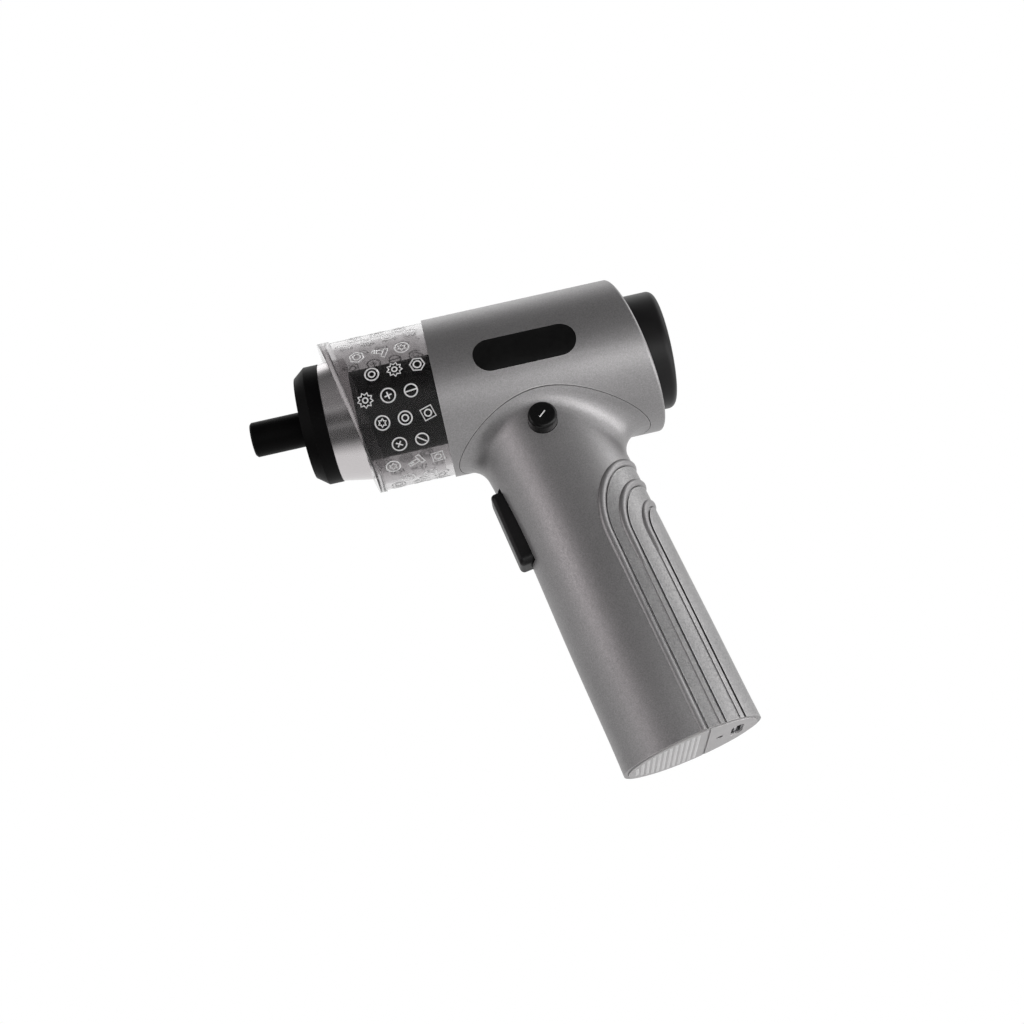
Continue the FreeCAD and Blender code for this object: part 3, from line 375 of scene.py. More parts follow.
@dataclass(frozen=True)
class ClearResin:
    """Clear or frosted moulded resin with smudges and faint scratches, in part polished, and where a rim
    colour is given, a painted highlight toward grazing edges.
    """

    name: str
    tint: Colour
    roughness: Pair
    transmission: float = 1.0
    index: float = 1.47
    grain: float = 3000.0
    grain_depth: float = 0.01 * MM
    pearl: float = 0.0
    # rim is the colour of a painted highlight, reached where the surface is seen at a grazing angle.
    rim: Optional[Colour] = None
    painted_rim_span: Pair = (0.30, 0.66)
    shine: float = 1.0
    smudge: float = 90.0
    streak: float = 60.0
    streak_stretch: Triple = (1.0, 14.0, 14.0)
    shares: Pair = (0.4, 0.6)
    smudge_shade: float = 0.95
    relief: float = 0.35
    polished_beyond: Optional[float] = None
    polished_behind: float = 0.0
    polish_tint: Colour = (0.72, 0.705, 0.71)
    polish_roughness: float = 0.2
    polish_fade: Pair = (0.5 * MM, 0.3 * MM)

    def polished(self, sketch: ShaderSketch) -> Socket:
        """Mask of the polished part, outside a radius round the barrel axis or behind a place on it.

        Args:
            sketch: Material being drawn.

        Returns:
            A socket from 0 for frosted to 1 for polished.
        """
        arm = sketch.vector("SUBTRACT", sketch.place, AXIS.origin)
        radius = sketch.vector("LENGTH", sketch.vector("CROSS_PRODUCT", arm, AXIS.ahead))
        along = sketch.vector("DOT_PRODUCT", arm, AXIS.ahead)
        outward, forward = self.polish_fade
        outside = sketch.spread(radius, 0.0, 1.0, self.polished_beyond, self.polished_beyond + outward)
        behind = sketch.spread(along, 1.0, 0.0, self.polished_behind, self.polished_behind + forward)
        return sketch.math("MAXIMUM", outside, behind)

    def material(self) -> Material:
        """Make the material.

        Returns:
            The new material.
        """
        sketch = ShaderSketch(self.name)
        streak = sketch.noise(self.streak, detail=3.0, vector=sketch.stretched(self.streak_stretch))
        mixed = sketch.mingle(*zip((streak, sketch.noise(self.smudge, detail=4.0)), self.shares))
        base = sketch.shades(mixed, tuple(self.smudge_shade * part for part in self.tint), self.tint)
        # Painted highlight: the colour shifts toward the rim colour where the surface is seen at a grazing
        # angle.
        if self.rim is not None:
            facing = sketch.add("ShaderNodeLayerWeight", Blend=0.5).outputs["Facing"]
            base = sketch.tinted(sketch.spread(facing, 0.0, 1.0, *self.painted_rim_span), base, self.rim)
        rough = sketch.spread(mixed, *self.roughness)
        grain = sketch.noise(self.grain)
        pearl, through = self.pearl, self.transmission
        if self.polished_beyond is not None:
            clear = self.polished(sketch)
            base = sketch.tinted(clear, base, self.polish_tint)
            rough = sketch.math("MULTIPLY", rough, sketch.spread(clear, 1.0, self.polish_roughness))
            grain = sketch.math("MULTIPLY", grain, sketch.spread(clear, 1.0, 0.0))
            pearl = sketch.spread(clear, self.pearl, 0.0)
            through = sketch.spread(clear, self.transmission, 1.0)
        sketch.set(Base_Color=base, Roughness=rough, Metallic=pearl, Transmission_Weight=through,
                   IOR=self.index, Specular_Tint=(self.shine, self.shine, self.shine, 1.0),
                   Normal=sketch.bump(grain, self.grain_depth, self.relief))
        return sketch.material


@dataclass(frozen=True)
class TurnedMetal:
    """Bare metal with fine tool marks round the barrel axis."""

    name: str
    dark: Colour
    light: Colour
    roughness: Pair
    metallic: float = 1.0
    marks: float = 9000.0
    marks_stretch: Triple = (1.0, 0.06, 0.06)
    marks_depth: float = 0.012 * MM
    stain: float = 260.0
    shares: Pair = (0.45, 0.55)
    relief: float = 0.5

    def material(self) -> Material:
        """Make the material.

        Returns:
            The new material.
        """
        sketch = ShaderSketch(self.name)
        turned = sketch.stretched(self.marks_stretch, (0.0, AXIS.tilt, 0.0))
        marks = sketch.noise(self.marks, vector=turned)
        mixed = sketch.mingle(*zip((sketch.noise(self.stain, detail=4.0), marks), self.shares))
        sketch.set(Base_Color=sketch.shades(mixed, self.dark, self.light), Metallic=self.metallic,
                   Roughness=sketch.spread(mixed, *self.roughness),
                   Normal=sketch.bump(marks, self.marks_depth, self.relief))
        return sketch.material


@dataclass(frozen=True)
class CircuitBoard:
    """Solder-masked board with copper tracks and small pads."""

    name: str
    mask: Colour
    track: Colour
    pad: Colour
    track_turn: Triple = (1.2, 0.4, 0.3)
    track_scale: float = 420.0
    track_width: float = 0.035
    track_span: Pair = (0.3, 0.8)
    pad_scale: float = 560.0
    pad_span: Pair = (0.16, 0.2)
    mottle: float = 900.0
    mottle_shade: float = 0.7
    pad_metal: float = 0.9
    roughness: Pair = (0.42, 0.25)
    height: float = 0.03 * MM
    relief: float = 0.6

    def material(self) -> Material:
        """Make the material.

        Returns:
            The new material.
        """
        sketch = ShaderSketch(self.name)
        lines = sketch.out("ShaderNodeTexBrick", Vector=sketch.stretched((1.0, 1.0, 1.0), self.track_turn),
                           Scale=self.track_scale, Mortar_Size=self.track_width, Color1=(0.0, 0.0, 0.0, 1.0),
                           Color2=(0.25, 0.25, 0.25, 1.0), Mortar=(1.0, 1.0, 1.0, 1.0))
        tracks = sketch.spread(lines, 0.0, 1.0, *self.track_span)
        cells = sketch.add("ShaderNodeTexVoronoi", Vector=sketch.place, Scale=self.pad_scale)
        pads = sketch.spread(cells.outputs["Distance"], 1.0, 0.0, *self.pad_span)
        shade = tuple(self.mottle_shade * part for part in self.mask)
        base = sketch.tinted(tracks, sketch.shades(sketch.noise(self.mottle), shade, self.mask), self.track)
        sketch.set(Base_Color=sketch.tinted(pads, base, self.pad),
                   Metallic=sketch.math("MULTIPLY", pads, self.pad_metal),
                   Roughness=sketch.spread(pads, *self.roughness, 0.0, 1.0),
                   Normal=sketch.bump(sketch.math("MAXIMUM", tracks, pads), self.height, self.relief))
        return sketch.material


@dataclass(frozen=True)
class PrintInk:
    """Screen-printed ink with slightly uneven cover."""

    name: str
    thin: Colour
    full: Colour
    through: float = 0.0
    cover: float = 1500.0
    roughness: Pair = (0.42, 0.6)
    film: float = 0.01 * MM
    relief: float = 0.4

    def material(self) -> Material:
        """Make the material.

        Returns:
            The new material.
        """
        sketch = ShaderSketch(self.name)
        cover = sketch.noise(self.cover, detail=4.0)
        sketch.set(Base_Color=sketch.shades(cover, self.thin, self.full), Transmission_Weight=self.through,
                   Roughness=sketch.spread(cover, *self.roughness),
                   Normal=sketch.bump(cover, self.film, self.relief))
        return sketch.material


FINISHES = {
    Slot.GREY_PAINT: FlakePaint(
        "shell_paint", (0.215, 0.21, 0.212), (0.33, 0.322, 0.325), (0.5, 0.49, 0.49)),
    Slot.GRIP_PAINT: FlakePaint(
        "panel_paint", (0.20, 0.197, 0.199), (0.37, 0.365, 0.366), (0.55, 0.54, 0.54),
        grain=1900.0, grain_depth=0.06 * MM, roughness=(0.40, 0.54)),
    Slot.BLACK_SATIN: MouldedPlastic(
        "satin_black", (0.004, 0.0038, 0.004), (0.009, 0.0085, 0.0088), (0.34, 0.46),
        edge=(0.06, 0.057, 0.058), gloss=0.2),
    Slot.BLACK_GLOSS: MouldedPlastic(
        "gloss_black", (0.002, 0.002, 0.002), (0.005, 0.005, 0.005), (0.16, 0.26),
        grain=900.0, grain_depth=0.004 * MM, gloss=0.2),
    Slot.BASE_GREY: MouldedPlastic(
        "base_plastic", (0.38, 0.37, 0.372), (0.53, 0.517, 0.52), (0.42, 0.58),
        edge=(0.66, 0.65, 0.65)),
    Slot.CLEAR_PLASTIC: ClearResin(
        "clear_resin", (0.46, 0.445, 0.45), (0.04, 0.08), grain_depth=0.001 * MM,
        # Painted highlight: the clear cup turns near white toward its grazing edges.
        rim=(0.96, 0.95, 0.955), shine=0.4),
    Slot.FROSTED_PLASTIC: ClearResin(
        "frosted_resin", (0.60, 0.575, 0.58), (0.18, 0.25), transmission=0.5,
        grain=6000.0, grain_depth=0.003 * MM, pearl=0.93,
        polished_beyond=19.2 * MM, polished_behind=46.4 * MM),
    Slot.DARK_CASE: MouldedPlastic(
        "case_black", (0.004, 0.0036, 0.0038), (0.009, 0.0082, 0.0086), (0.42, 0.6),
        grain_depth=0.001 * MM, gloss=0.1),
    Slot.STEEL: TurnedMetal(
        "bright_steel", (0.42, 0.42, 0.43), (0.62, 0.62, 0.63), (0.22, 0.38)),
    Slot.GEAR_STEEL: TurnedMetal(
        "gear_steel", (0.26, 0.255, 0.25), (0.42, 0.41, 0.40), (0.30, 0.46)),
    Slot.MAGNET: TurnedMetal(
        "dark_magnet", (0.05, 0.05, 0.052), (0.10, 0.10, 0.102), (0.45, 0.65), metallic=0.6),
    Slot.COPPER: TurnedMetal(
        "warm_copper", (0.50, 0.22, 0.10), (0.78, 0.40, 0.22), (0.24, 0.42)),
    Slot.BELL_PLASTIC: MouldedPlastic(
        "bell_plastic", (0.03, 0.03, 0.033), (0.06, 0.06, 0.064), (0.4, 0.55)),
    Slot.CIRCUIT_BOARD: CircuitBoard(
        "green_board", (0.012, 0.10, 0.045), (0.03, 0.16, 0.075), (0.62, 0.56, 0.42)),
    Slot.LAMP_CLEAR: ClearResin(
        "lamp_resin", (0.93, 0.88, 0.70), (0.08, 0.16), transmission=0.7),
    Slot.CELL_WRAP: MouldedPlastic(
        "cell_wrap", (0.02, 0.10, 0.16), (0.03, 0.15, 0.23), (0.2, 0.34),
        grain=700.0, coat=0.3),
    Slot.NICKEL: TurnedMetal(
        "nickel_strip", (0.5, 0.48, 0.45), (0.68, 0.66, 0.62), (0.24, 0.4)),
    Slot.SEAL_RUBBER: MouldedPlastic(
        "seal_rubber", (0.012, 0.012, 0.012), (0.024, 0.023, 0.023), (0.62, 0.8)),
}
DEEP_BLACK = MouldedPlastic(
    "deep_black", (0.0012, 0.0011, 0.0011), (0.0028, 0.0026, 0.0027), (0.40, 0.52),
    gloss=0.05, edge=(0.012, 0.011, 0.011))
PAD_SILVER = MouldedPlastic(
    "pad_silver", (0.48, 0.468, 0.47), (0.66, 0.647, 0.65), (0.28, 0.40),
    edge=(0.76, 0.75, 0.75))
PRINT_WHITE = PrintInk("white_print", (0.80, 0.79, 0.795), (0.95, 0.94, 0.945), 0.5)
MARK_WHITE = PrintInk("mark_white", (0.66, 0.65, 0.65), (0.82, 0.81, 0.81))
DEEP_BLACK_NODES = ("bit_holder", "nose_collar", "charge_lamp")
GLOSS_BLACK_NODES = ("side_button",)


class Wardrobe:
    """Holds one material for each slot and dresses the CAD nodes with them."""

    def __init__(self, record: dict) -> None:
        """Make every slot's material.

        Args:
            record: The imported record, which names each node's slot.
        """
        self.record = record
        self.materials = {slot: finish.material() for slot, finish in FINISHES.items()}
        self.deep_black = DEEP_BLACK.material()
        self.pad_silver = PAD_SILVER.material()
        self.print_white = PRINT_WHITE.material()
        self.mark_white = MARK_WHITE.material()

    def of(self, slot: Slot) -> Material:
        """Material of a slot."""
        return self.materials[slot]

    def dress_nodes(self, nodes: dict[str, Object]) -> None:
        """Give every CAD node the material of its slot, and a few their own black.

        Args:
            nodes: The frame's objects by node name.
        """
        own = {name: self.deep_black for name in DEEP_BLACK_NODES}
        own.update({name: self.of(Slot.BLACK_GLOSS) for name in GLOSS_BLACK_NODES})
        for row in self.record["subparts"]:
            name = row["node"]
            material = own.get(name, self.of(Slot(row["material_slot"])))
            nodes[name].data.materials.clear()
            nodes[name].data.materials.append(material)
            LOG.info("node %s wears %s", name, material.name)


def new_tree(name: str, inputs: dict[str, str]) -> tuple[Graph, NodeOutputs]:
    """Start a Geometry Nodes tree.

    Args:
        name: Tree name.
        inputs: Socket type of each named input.

    Returns:
        The graph and the tree's inputs.
    """
    tree = bpy.data.node_groups.new(name, "GeometryNodeTree")
    tree.interface.new_socket("Geometry", in_out="OUTPUT", socket_type="NodeSocketGeometry")
    for label, kind in {"Geometry": "Geometry", **inputs, "Material": "Material"}.items():
        tree.interface.new_socket(label, in_out="INPUT", socket_type="NodeSocket" + kind)
    graph = Graph(tree)
    return graph, graph.add("NodeGroupInput").outputs


def close_tree(graph: Graph, geometry: Socket, material: Socket) -> NodeTree:
    """End a Geometry Nodes tree in Realize Instances and Set Material.

    Args:
        graph: The tree's graph.
        geometry: Geometry to put out.
        material: Material to give it.

    Returns:
        The finished tree.
    """
    real = graph.out("GeometryNodeRealizeInstances", Geometry=geometry)
    dressed = graph.out("GeometryNodeSetMaterial", Geometry=real, Material=material)
    graph.add("NodeGroupOutput", Geometry=dressed)
    return graph.tree


def swept(graph: Graph, curve: Socket, section: Socket, **inputs: object) -> Socket:
    """Closed mesh of a section swept along a curve."""
    return graph.out("GeometryNodeCurveToMesh", Curve=curve, Profile_Curve=section, Fill_Caps=True, **inputs)


def disc(graph: Graph, sides: object, radius: object) -> Socket:
    """Round curve with a number of sides."""
    return graph.out("GeometryNodeCurvePrimitiveCircle", Resolution=sides, Radius=radius)


def grow(name: str, tree: NodeTree, settings: dict[str, object], mesh: Optional[Mesh] = None,
         matrix: Optional[Matrix] = None) -> Object:
    """Run a Geometry Nodes tree and keep its result as a plain mesh.

    Args:
        name: Name of the new object.
        tree: Tree to run.
        settings: Value of each named input.
        mesh: Mesh that the tree starts from.
        matrix: Move that is applied to the finished mesh.

    Returns:
        The object at the origin with a plain mesh.
    """
    host = bpy.data.objects.new(name, mesh or bpy.data.meshes.new(name + "_seed"))
    bpy.context.scene.collection.objects.link(host)
    modifier = host.modifiers.new("Grow", "NODES")
    modifier.node_group = tree
    for item in tree.interface.items_tree:
        if item.in_out == "INPUT" and item.name in settings:
            modifier[item.identifier] = settings[item.name]
    graph = bpy.context.evaluated_depsgraph_get()
    result = bpy.data.meshes.new_from_object(host.evaluated_get(graph), depsgraph=graph)
    host.modifiers.clear()
    result.name = name
    host.data = result
    if matrix is not None:
        result.transform(matrix)
    return host


def keep(piece: Object, body: Body, replaced: Sequence[str] = ()) -> None:
    """Ride a finished piece on its body and log it.

    Args:
        piece: Finished piece.
        body: Body that it moves with.
        replaced: CAD nodes that it stands for.
    """
    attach(piece, body.value)
    if replaced:
        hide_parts(*replaced)
    LOG.info("piece %s rides on %s, %d faces", piece.name, body.value, len(piece.data.polygons))


@dataclass
class MotifPen:
    """Draws the curves of print motifs in shares of the motif size."""

    graph: Graph
    size: Socket
    round_sides: int = 28

    def moved(self, curve: Socket, **move: object) -> Socket:
        """Curve after a move in shares, brought to the motif size."""
        placed = self.graph.out("GeometryNodeTransform", Geometry=curve, **move)
        return self.graph.out("GeometryNodeTransform", Geometry=placed, Scale=self.graph.combine(
            X=self.size, Y=self.size, Z=self.size))

    def ring(self, radius: float, sides: Optional[int] = None, turn: float = 0.0) -> Socket:
        """Ring with a radius, round unless sides are given, turned by an angle in radians."""
        return self.moved(disc(self.graph, sides or self.round_sides, radius), Rotation=(0.0, 0.0, turn))

    def bar(self, start: Pair, end: Pair) -> Socket:
        """Straight line between two points."""
        line = self.graph.out("GeometryNodeCurvePrimitiveLine", Start=(*start, 0.0), End=(*end, 0.0))
        return self.moved(line)

    def box(self, width: float, height: float, middle: float) -> Socket:
        """Rectangle with its middle at a place along the motif."""
        quad = self.graph.out("GeometryNodeCurvePrimitiveQuadrilateral", Width=width, Height=height)
        return self.moved(quad, Translation=(middle, 0.0, 0.0))

    def star(self, points: int, inner: float, outer: float) -> Socket:
        """Star between two radii."""
        star = self.graph.out("GeometryNodeCurveStar", Points=points, Inner_Radius=inner, Outer_Radius=outer)
        return self.moved(star)

    def motifs(self) -> list[list[Socket]]:
        """Draw every motif.

        Returns:
            One list of curves for each motif.
        """
        nut = [self.ring(1.0, 6), self.ring(0.5)]
        cross_head = [self.ring(0.95), self.bar((-0.5, 0.0), (0.5, 0.0)), self.bar((0.0, -0.5), (0.0, 0.5))]
        washer = [self.ring(0.9), self.ring(0.42)]
        bolt = [self.box(0.55, 1.5, -0.75), self.box(1.45, 0.62, 0.28),
                self.bar((0.3, -0.3), (0.45, 0.3)), self.bar((0.6, -0.3), (0.75, 0.3))]
        slot_head = [self.ring(0.85), self.bar((-0.8, 0.0), (0.8, 0.0))]
        cog = [self.star(9, 0.72, 1.05), self.ring(0.34)]
        square_nut = [self.ring(1.12, 4, math.pi / 4), self.ring(0.45)]
        six_lobe = [self.ring(0.95), self.star(6, 0.32, 0.6)]
        return [nut, cross_head, washer, bolt, slot_head, cog, square_nut, six_lobe]


@dataclass
class CupPrint:
    """White line print round the clear cup: nuts, washers, bolts, cogs and screw heads."""

    radius: float = 22.1 * MM
    lift: float = 0.02 * MM
    film: float = 0.04 * MM
    stroke: float = 0.42 * MM
    motif: float = 2.05 * MM
    columns: int = 20
    rows: int = 4
    start: float = 27.4 * MM
    pitch: float = 6.3 * MM
    flange_x: float = 46.6 * MM
    margin: float = 2.9 * MM
    column_step: float = 3.0
    row_step: float = 5.0
    turn: float = 0.7
    seed: int = 11

    def strokes(self, graph: Graph, curves: Sequence[Socket], stroke: Socket, film: Socket) -> Socket:
        """Flat strokes along curves, as one instance.

        Args:
            graph: The tree's graph.
            curves: Curves of one motif.
            stroke: Stroke width.
            film: Film thickness.

        Returns:
            The motif as one instance.
        """
        section = graph.out("GeometryNodeCurvePrimitiveQuadrilateral", Width=stroke, Height=film)
        flat = graph.out("GeometryNodeSetCurveNormal", {"mode": "Z_UP"}, Curve=graph.join(curves))
        return graph.out("GeometryNodeGeometryToInstance", i0=swept(graph, flat, section))

    def wrapped(self, graph: Graph, flat: Socket, radius: Socket) -> Socket:
        """Wrap a flat print round the barrel axis.

        Args:
            graph: The tree's graph.
            flat: The print, with Y round the cup and Z outward.
            radius: Radius of the cup.

        Returns:
            The wrapped print.
        """
        place = graph.add("ShaderNodeSeparateXYZ", Vector=graph.out("GeometryNodeInputPosition")).outputs
        bend = graph.math("DIVIDE", place["Y"], radius)
        reach = graph.math("ADD", place["Z"], radius)
        spot = graph.combine(X=place["X"], Y=graph.math("MULTIPLY", reach, graph.math("COSINE", bend)),
                             Z=graph.math("MULTIPLY", reach, graph.math("SINE", bend)))
        return graph.out("GeometryNodeSetPosition", Geometry=flat, Position=spot)

    def tree(self) -> NodeTree:
        """Build the tree that sets the motifs out in staggered rows, short of the slanted flange.

        Returns:
            The tree.
        """
        sizes = ("Start", "Pitch", "Radius", "Size", "Stroke", "Film", "Flange", "Margin", "Tilt")
        graph, get = new_tree("cup_print", {"Columns": "Int", "Rows": "Int", "Seed": "Int",
                                            **{name: "Float" for name in sizes}})
        points = graph.out("GeometryNodePoints", Count=graph.math("MULTIPLY", get["Columns"], get["Rows"]))
        index = graph.out("GeometryNodeInputIndex")
        column = graph.math("FLOOR", graph.math("DIVIDE", index, get["Rows"]))
        row = graph.math("MODULO", index, get["Rows"])
        stagger = graph.math("MULTIPLY", graph.math("MODULO", column, 2.0), 0.5)
        along = graph.math("MULTIPLY_ADD", graph.math("ADD", row, stagger), get["Pitch"], get["Start"])
        angle = graph.math("DIVIDE", graph.math("MULTIPLY", column, math.tau), get["Columns"])
        spot = graph.combine(X=along, Y=graph.math("MULTIPLY", angle, get["Radius"]))
        points = graph.out("GeometryNodeSetPosition", Geometry=points, Position=spot)
        height = graph.math("MULTIPLY", graph.math("SINE", angle), get["Radius"])
        rise = graph.math("MULTIPLY", height, graph.math("SINE", get["Tilt"]))
        end = graph.math("DIVIDE", graph.math("ADD", rise, get["Flange"]), graph.math("COSINE", get["Tilt"]))
        beyond = graph.math("GREATER_THAN", along, graph.math("SUBTRACT", end, get["Margin"]))
        points = graph.out("GeometryNodeDeleteGeometry", {"domain": "POINT"}, Geometry=points,
                           Selection=beyond)
        shapes = [self.strokes(graph, curves, get["Stroke"], get["Film"])
                  for curves in MotifPen(graph, get["Size"]).motifs()]
        steps = graph.math("MULTIPLY_ADD", column, self.column_step,
                           graph.math("MULTIPLY", row, self.row_step))
        turn = graph.add("FunctionNodeRandomValue", {"data_type": "FLOAT"}, i2=-self.turn, i3=self.turn,
                         Seed=get["Seed"]).outputs[1]
        placed = graph.out("GeometryNodeInstanceOnPoints", Points=points, Instance=graph.join(shapes),
                           Pick_Instance=True, Rotation=graph.combine(Z=turn),
                           Instance_Index=graph.math("MODULO", steps, float(len(shapes))))
        flat = graph.out("GeometryNodeRealizeInstances", Geometry=placed)
        return close_tree(graph, self.wrapped(graph, flat, get["Radius"]), get["Material"])

    def build(self, wardrobe: Wardrobe) -> None:
        """Make the print and ride it on the cup.

        Args:
            wardrobe: Materials.
        """
        settings = {"Columns": self.columns, "Rows": self.rows, "Start": self.start, "Pitch": self.pitch,
                    "Radius": self.radius + self.lift + self.film / 2, "Size": self.motif,
                    "Stroke": self.stroke, "Film": self.film, "Flange": self.flange_x, "Margin": self.margin,
                    "Tilt": AXIS.tilt, "Seed": self.seed, "Material": wardrobe.print_white}
        piece = grow("cup_print", self.tree(), settings, matrix=AXIS.matrix())
        keep(piece, Body.CUP)


@dataclass
class ButtonMark:
    """Short white slash on the side button's face."""

    length: float = 2.5 * MM
    width: float = 0.32 * MM
    film: float = 0.03 * MM
    lean: float = math.radians(148.0)
    end_steps: int = 6

    def outline(self) -> list[Pair]:
        """Points round the slash, which has round ends.

        Returns:
            The points in the plane of the button's face.
        """
        half = (self.length - self.width) / 2
        points = []
        for start, middle in ((-math.pi / 2, half), (math.pi / 2, -half)):
            for step in range(self.end_steps + 1):
                angle = start + math.pi * step / self.end_steps
                points.append((middle + self.width / 2 * math.cos(angle), self.width / 2 * math.sin(angle)))
        return points

    def build(self, wardrobe: Wardrobe) -> None:
        """Make the slash and ride it on the button.

        Args:
            wardrobe: Materials.
        """
        shape = bmesh.new()
        rim = self.outline()
        low, high = ([shape.verts.new((u, v, level)) for u, v in rim] for level in (0.0, self.film))
        shape.faces.new(high)
        shape.faces.new(list(reversed(low)))
        for one in range(len(rim)):
            two = (one + 1) % len(rim)
            shape.faces.new((low[one], low[two], high[two], high[one]))
        mesh = bpy.data.meshes.new("button_mark")
        shape.to_mesh(mesh)
        shape.free()
        turn = Matrix.Rotation(-QUARTER_TURN, 4, "X") @ Matrix.Rotation(-self.lean, 4, "Z")
        low_corner, high_corner = (Vector(corner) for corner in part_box("side_button"))
        middle = (low_corner + high_corner) / 2
        mesh.transform(Matrix.Translation((middle.x, high_corner.y, middle.z)) @ turn)
        mesh.materials.append(wardrobe.mark_white)
        piece = bpy.data.objects.new("button_mark", mesh)
        bpy.context.scene.collection.objects.link(piece)
        keep(piece, Body.BUTTON)


@dataclass(frozen=True)
class ScrewForm:
    """Pan-head screw with a cross recess and a cut thread, head toward +Z, seat at the origin."""

    shank_length: float
    head_radius: float = 2.2 * MM
    head_height: float = 1.4 * MM
    dome: float = 0.25 * MM
    brim: float = 0.2 * MM
    shoulder: float = 0.55 * MM
    shank_radius: float = 1.2 * MM
    thread_pitch: float = 0.8 * MM
    thread_depth: float = 0.22 * MM
    thread_lead: float = 0.2
    recess_reach: float = 1.25 * MM
    recess_half: float = 0.3 * MM
    recess_depth: float = 0.75 * MM
    recess_taper: float = 0.6
    sides: int = 48
    top_rings: int = 9
    sharp: float = math.radians(35.0)

    def top(self, radius: float, angle: float) -> float:
        """Height of the head's top over a point.

        Args:
            radius: Distance from the screw's axis.
            angle: Angle round the axis.

        Returns:
            The height over the seat.
        """
        height = self.head_height - self.dome * (radius / self.head_radius) ** 2
        across = min(abs(radius * math.cos(angle)), abs(radius * math.sin(angle)))
        if radius < self.recess_reach and across < self.recess_half:
            height -= self.recess_depth * (1.0 - self.recess_taper * radius / self.recess_reach)
        return height

    def rings(self) -> list[list[Triple]]:
        """Points of every ring, from the crown to the end of the thread.

        Returns:
            One list of points for each ring.
        """
        angles = [math.tau * (side + 0.5) / self.sides for side in range(self.sides)]
        rows = []
        for step in range(1, self.top_rings + 1):
            radius = (self.head_radius - self.brim) * step / self.top_rings
            rows.append([(radius, self.top(radius, angle)) for angle in angles])
        for corner in ((self.head_radius, self.head_height - self.shoulder), (self.head_radius, 0.0),
                       (self.shank_radius, 0.0)):
            rows.append([corner] * self.sides)
        for turn in range(int(self.shank_length / self.thread_pitch)):
            for share, depth in ((0.25, 0.0), (0.5, self.thread_depth), (0.75, 0.0)):
                rows.append([(self.shank_radius - depth, -self.thread_pitch * (
                    turn + share + self.thread_lead * angle / math.tau)) for angle in angles])
        return [[(radius * math.cos(angle), radius * math.sin(angle), height)
                 for angle, (radius, height) in zip(angles, row)] for row in rows]

    def mesh(self, name: str) -> Mesh:
        """Make the screw's mesh.

        Args:
            name: Mesh name.

        Returns:
            The mesh.
        """
        shape = bmesh.new()
        rings = [[shape.verts.new(point) for point in row] for row in self.rings()]
        tip = shape.verts.new((0.0, 0.0, -self.shank_length))
        crown = shape.verts.new((0.0, 0.0, self.top(0.0, 0.0)))
        for side in range(self.sides):
            after = (side + 1) % self.sides
            shape.faces.new((crown, rings[0][side], rings[0][after]))
            shape.faces.new((tip, rings[-1][after], rings[-1][side]))
            for one, two in zip(rings, rings[1:]):
                shape.faces.new((one[side], two[side], two[after], one[after]))
        bmesh.ops.recalc_face_normals(shape, faces=shape.faces)
        mesh = bpy.data.meshes.new(name)
        shape.to_mesh(mesh)
        shape.free()
        for face in mesh.polygons:
            face.use_smooth = True
        mesh.set_sharp_from_angle(angle=self.sharp)
        return mesh


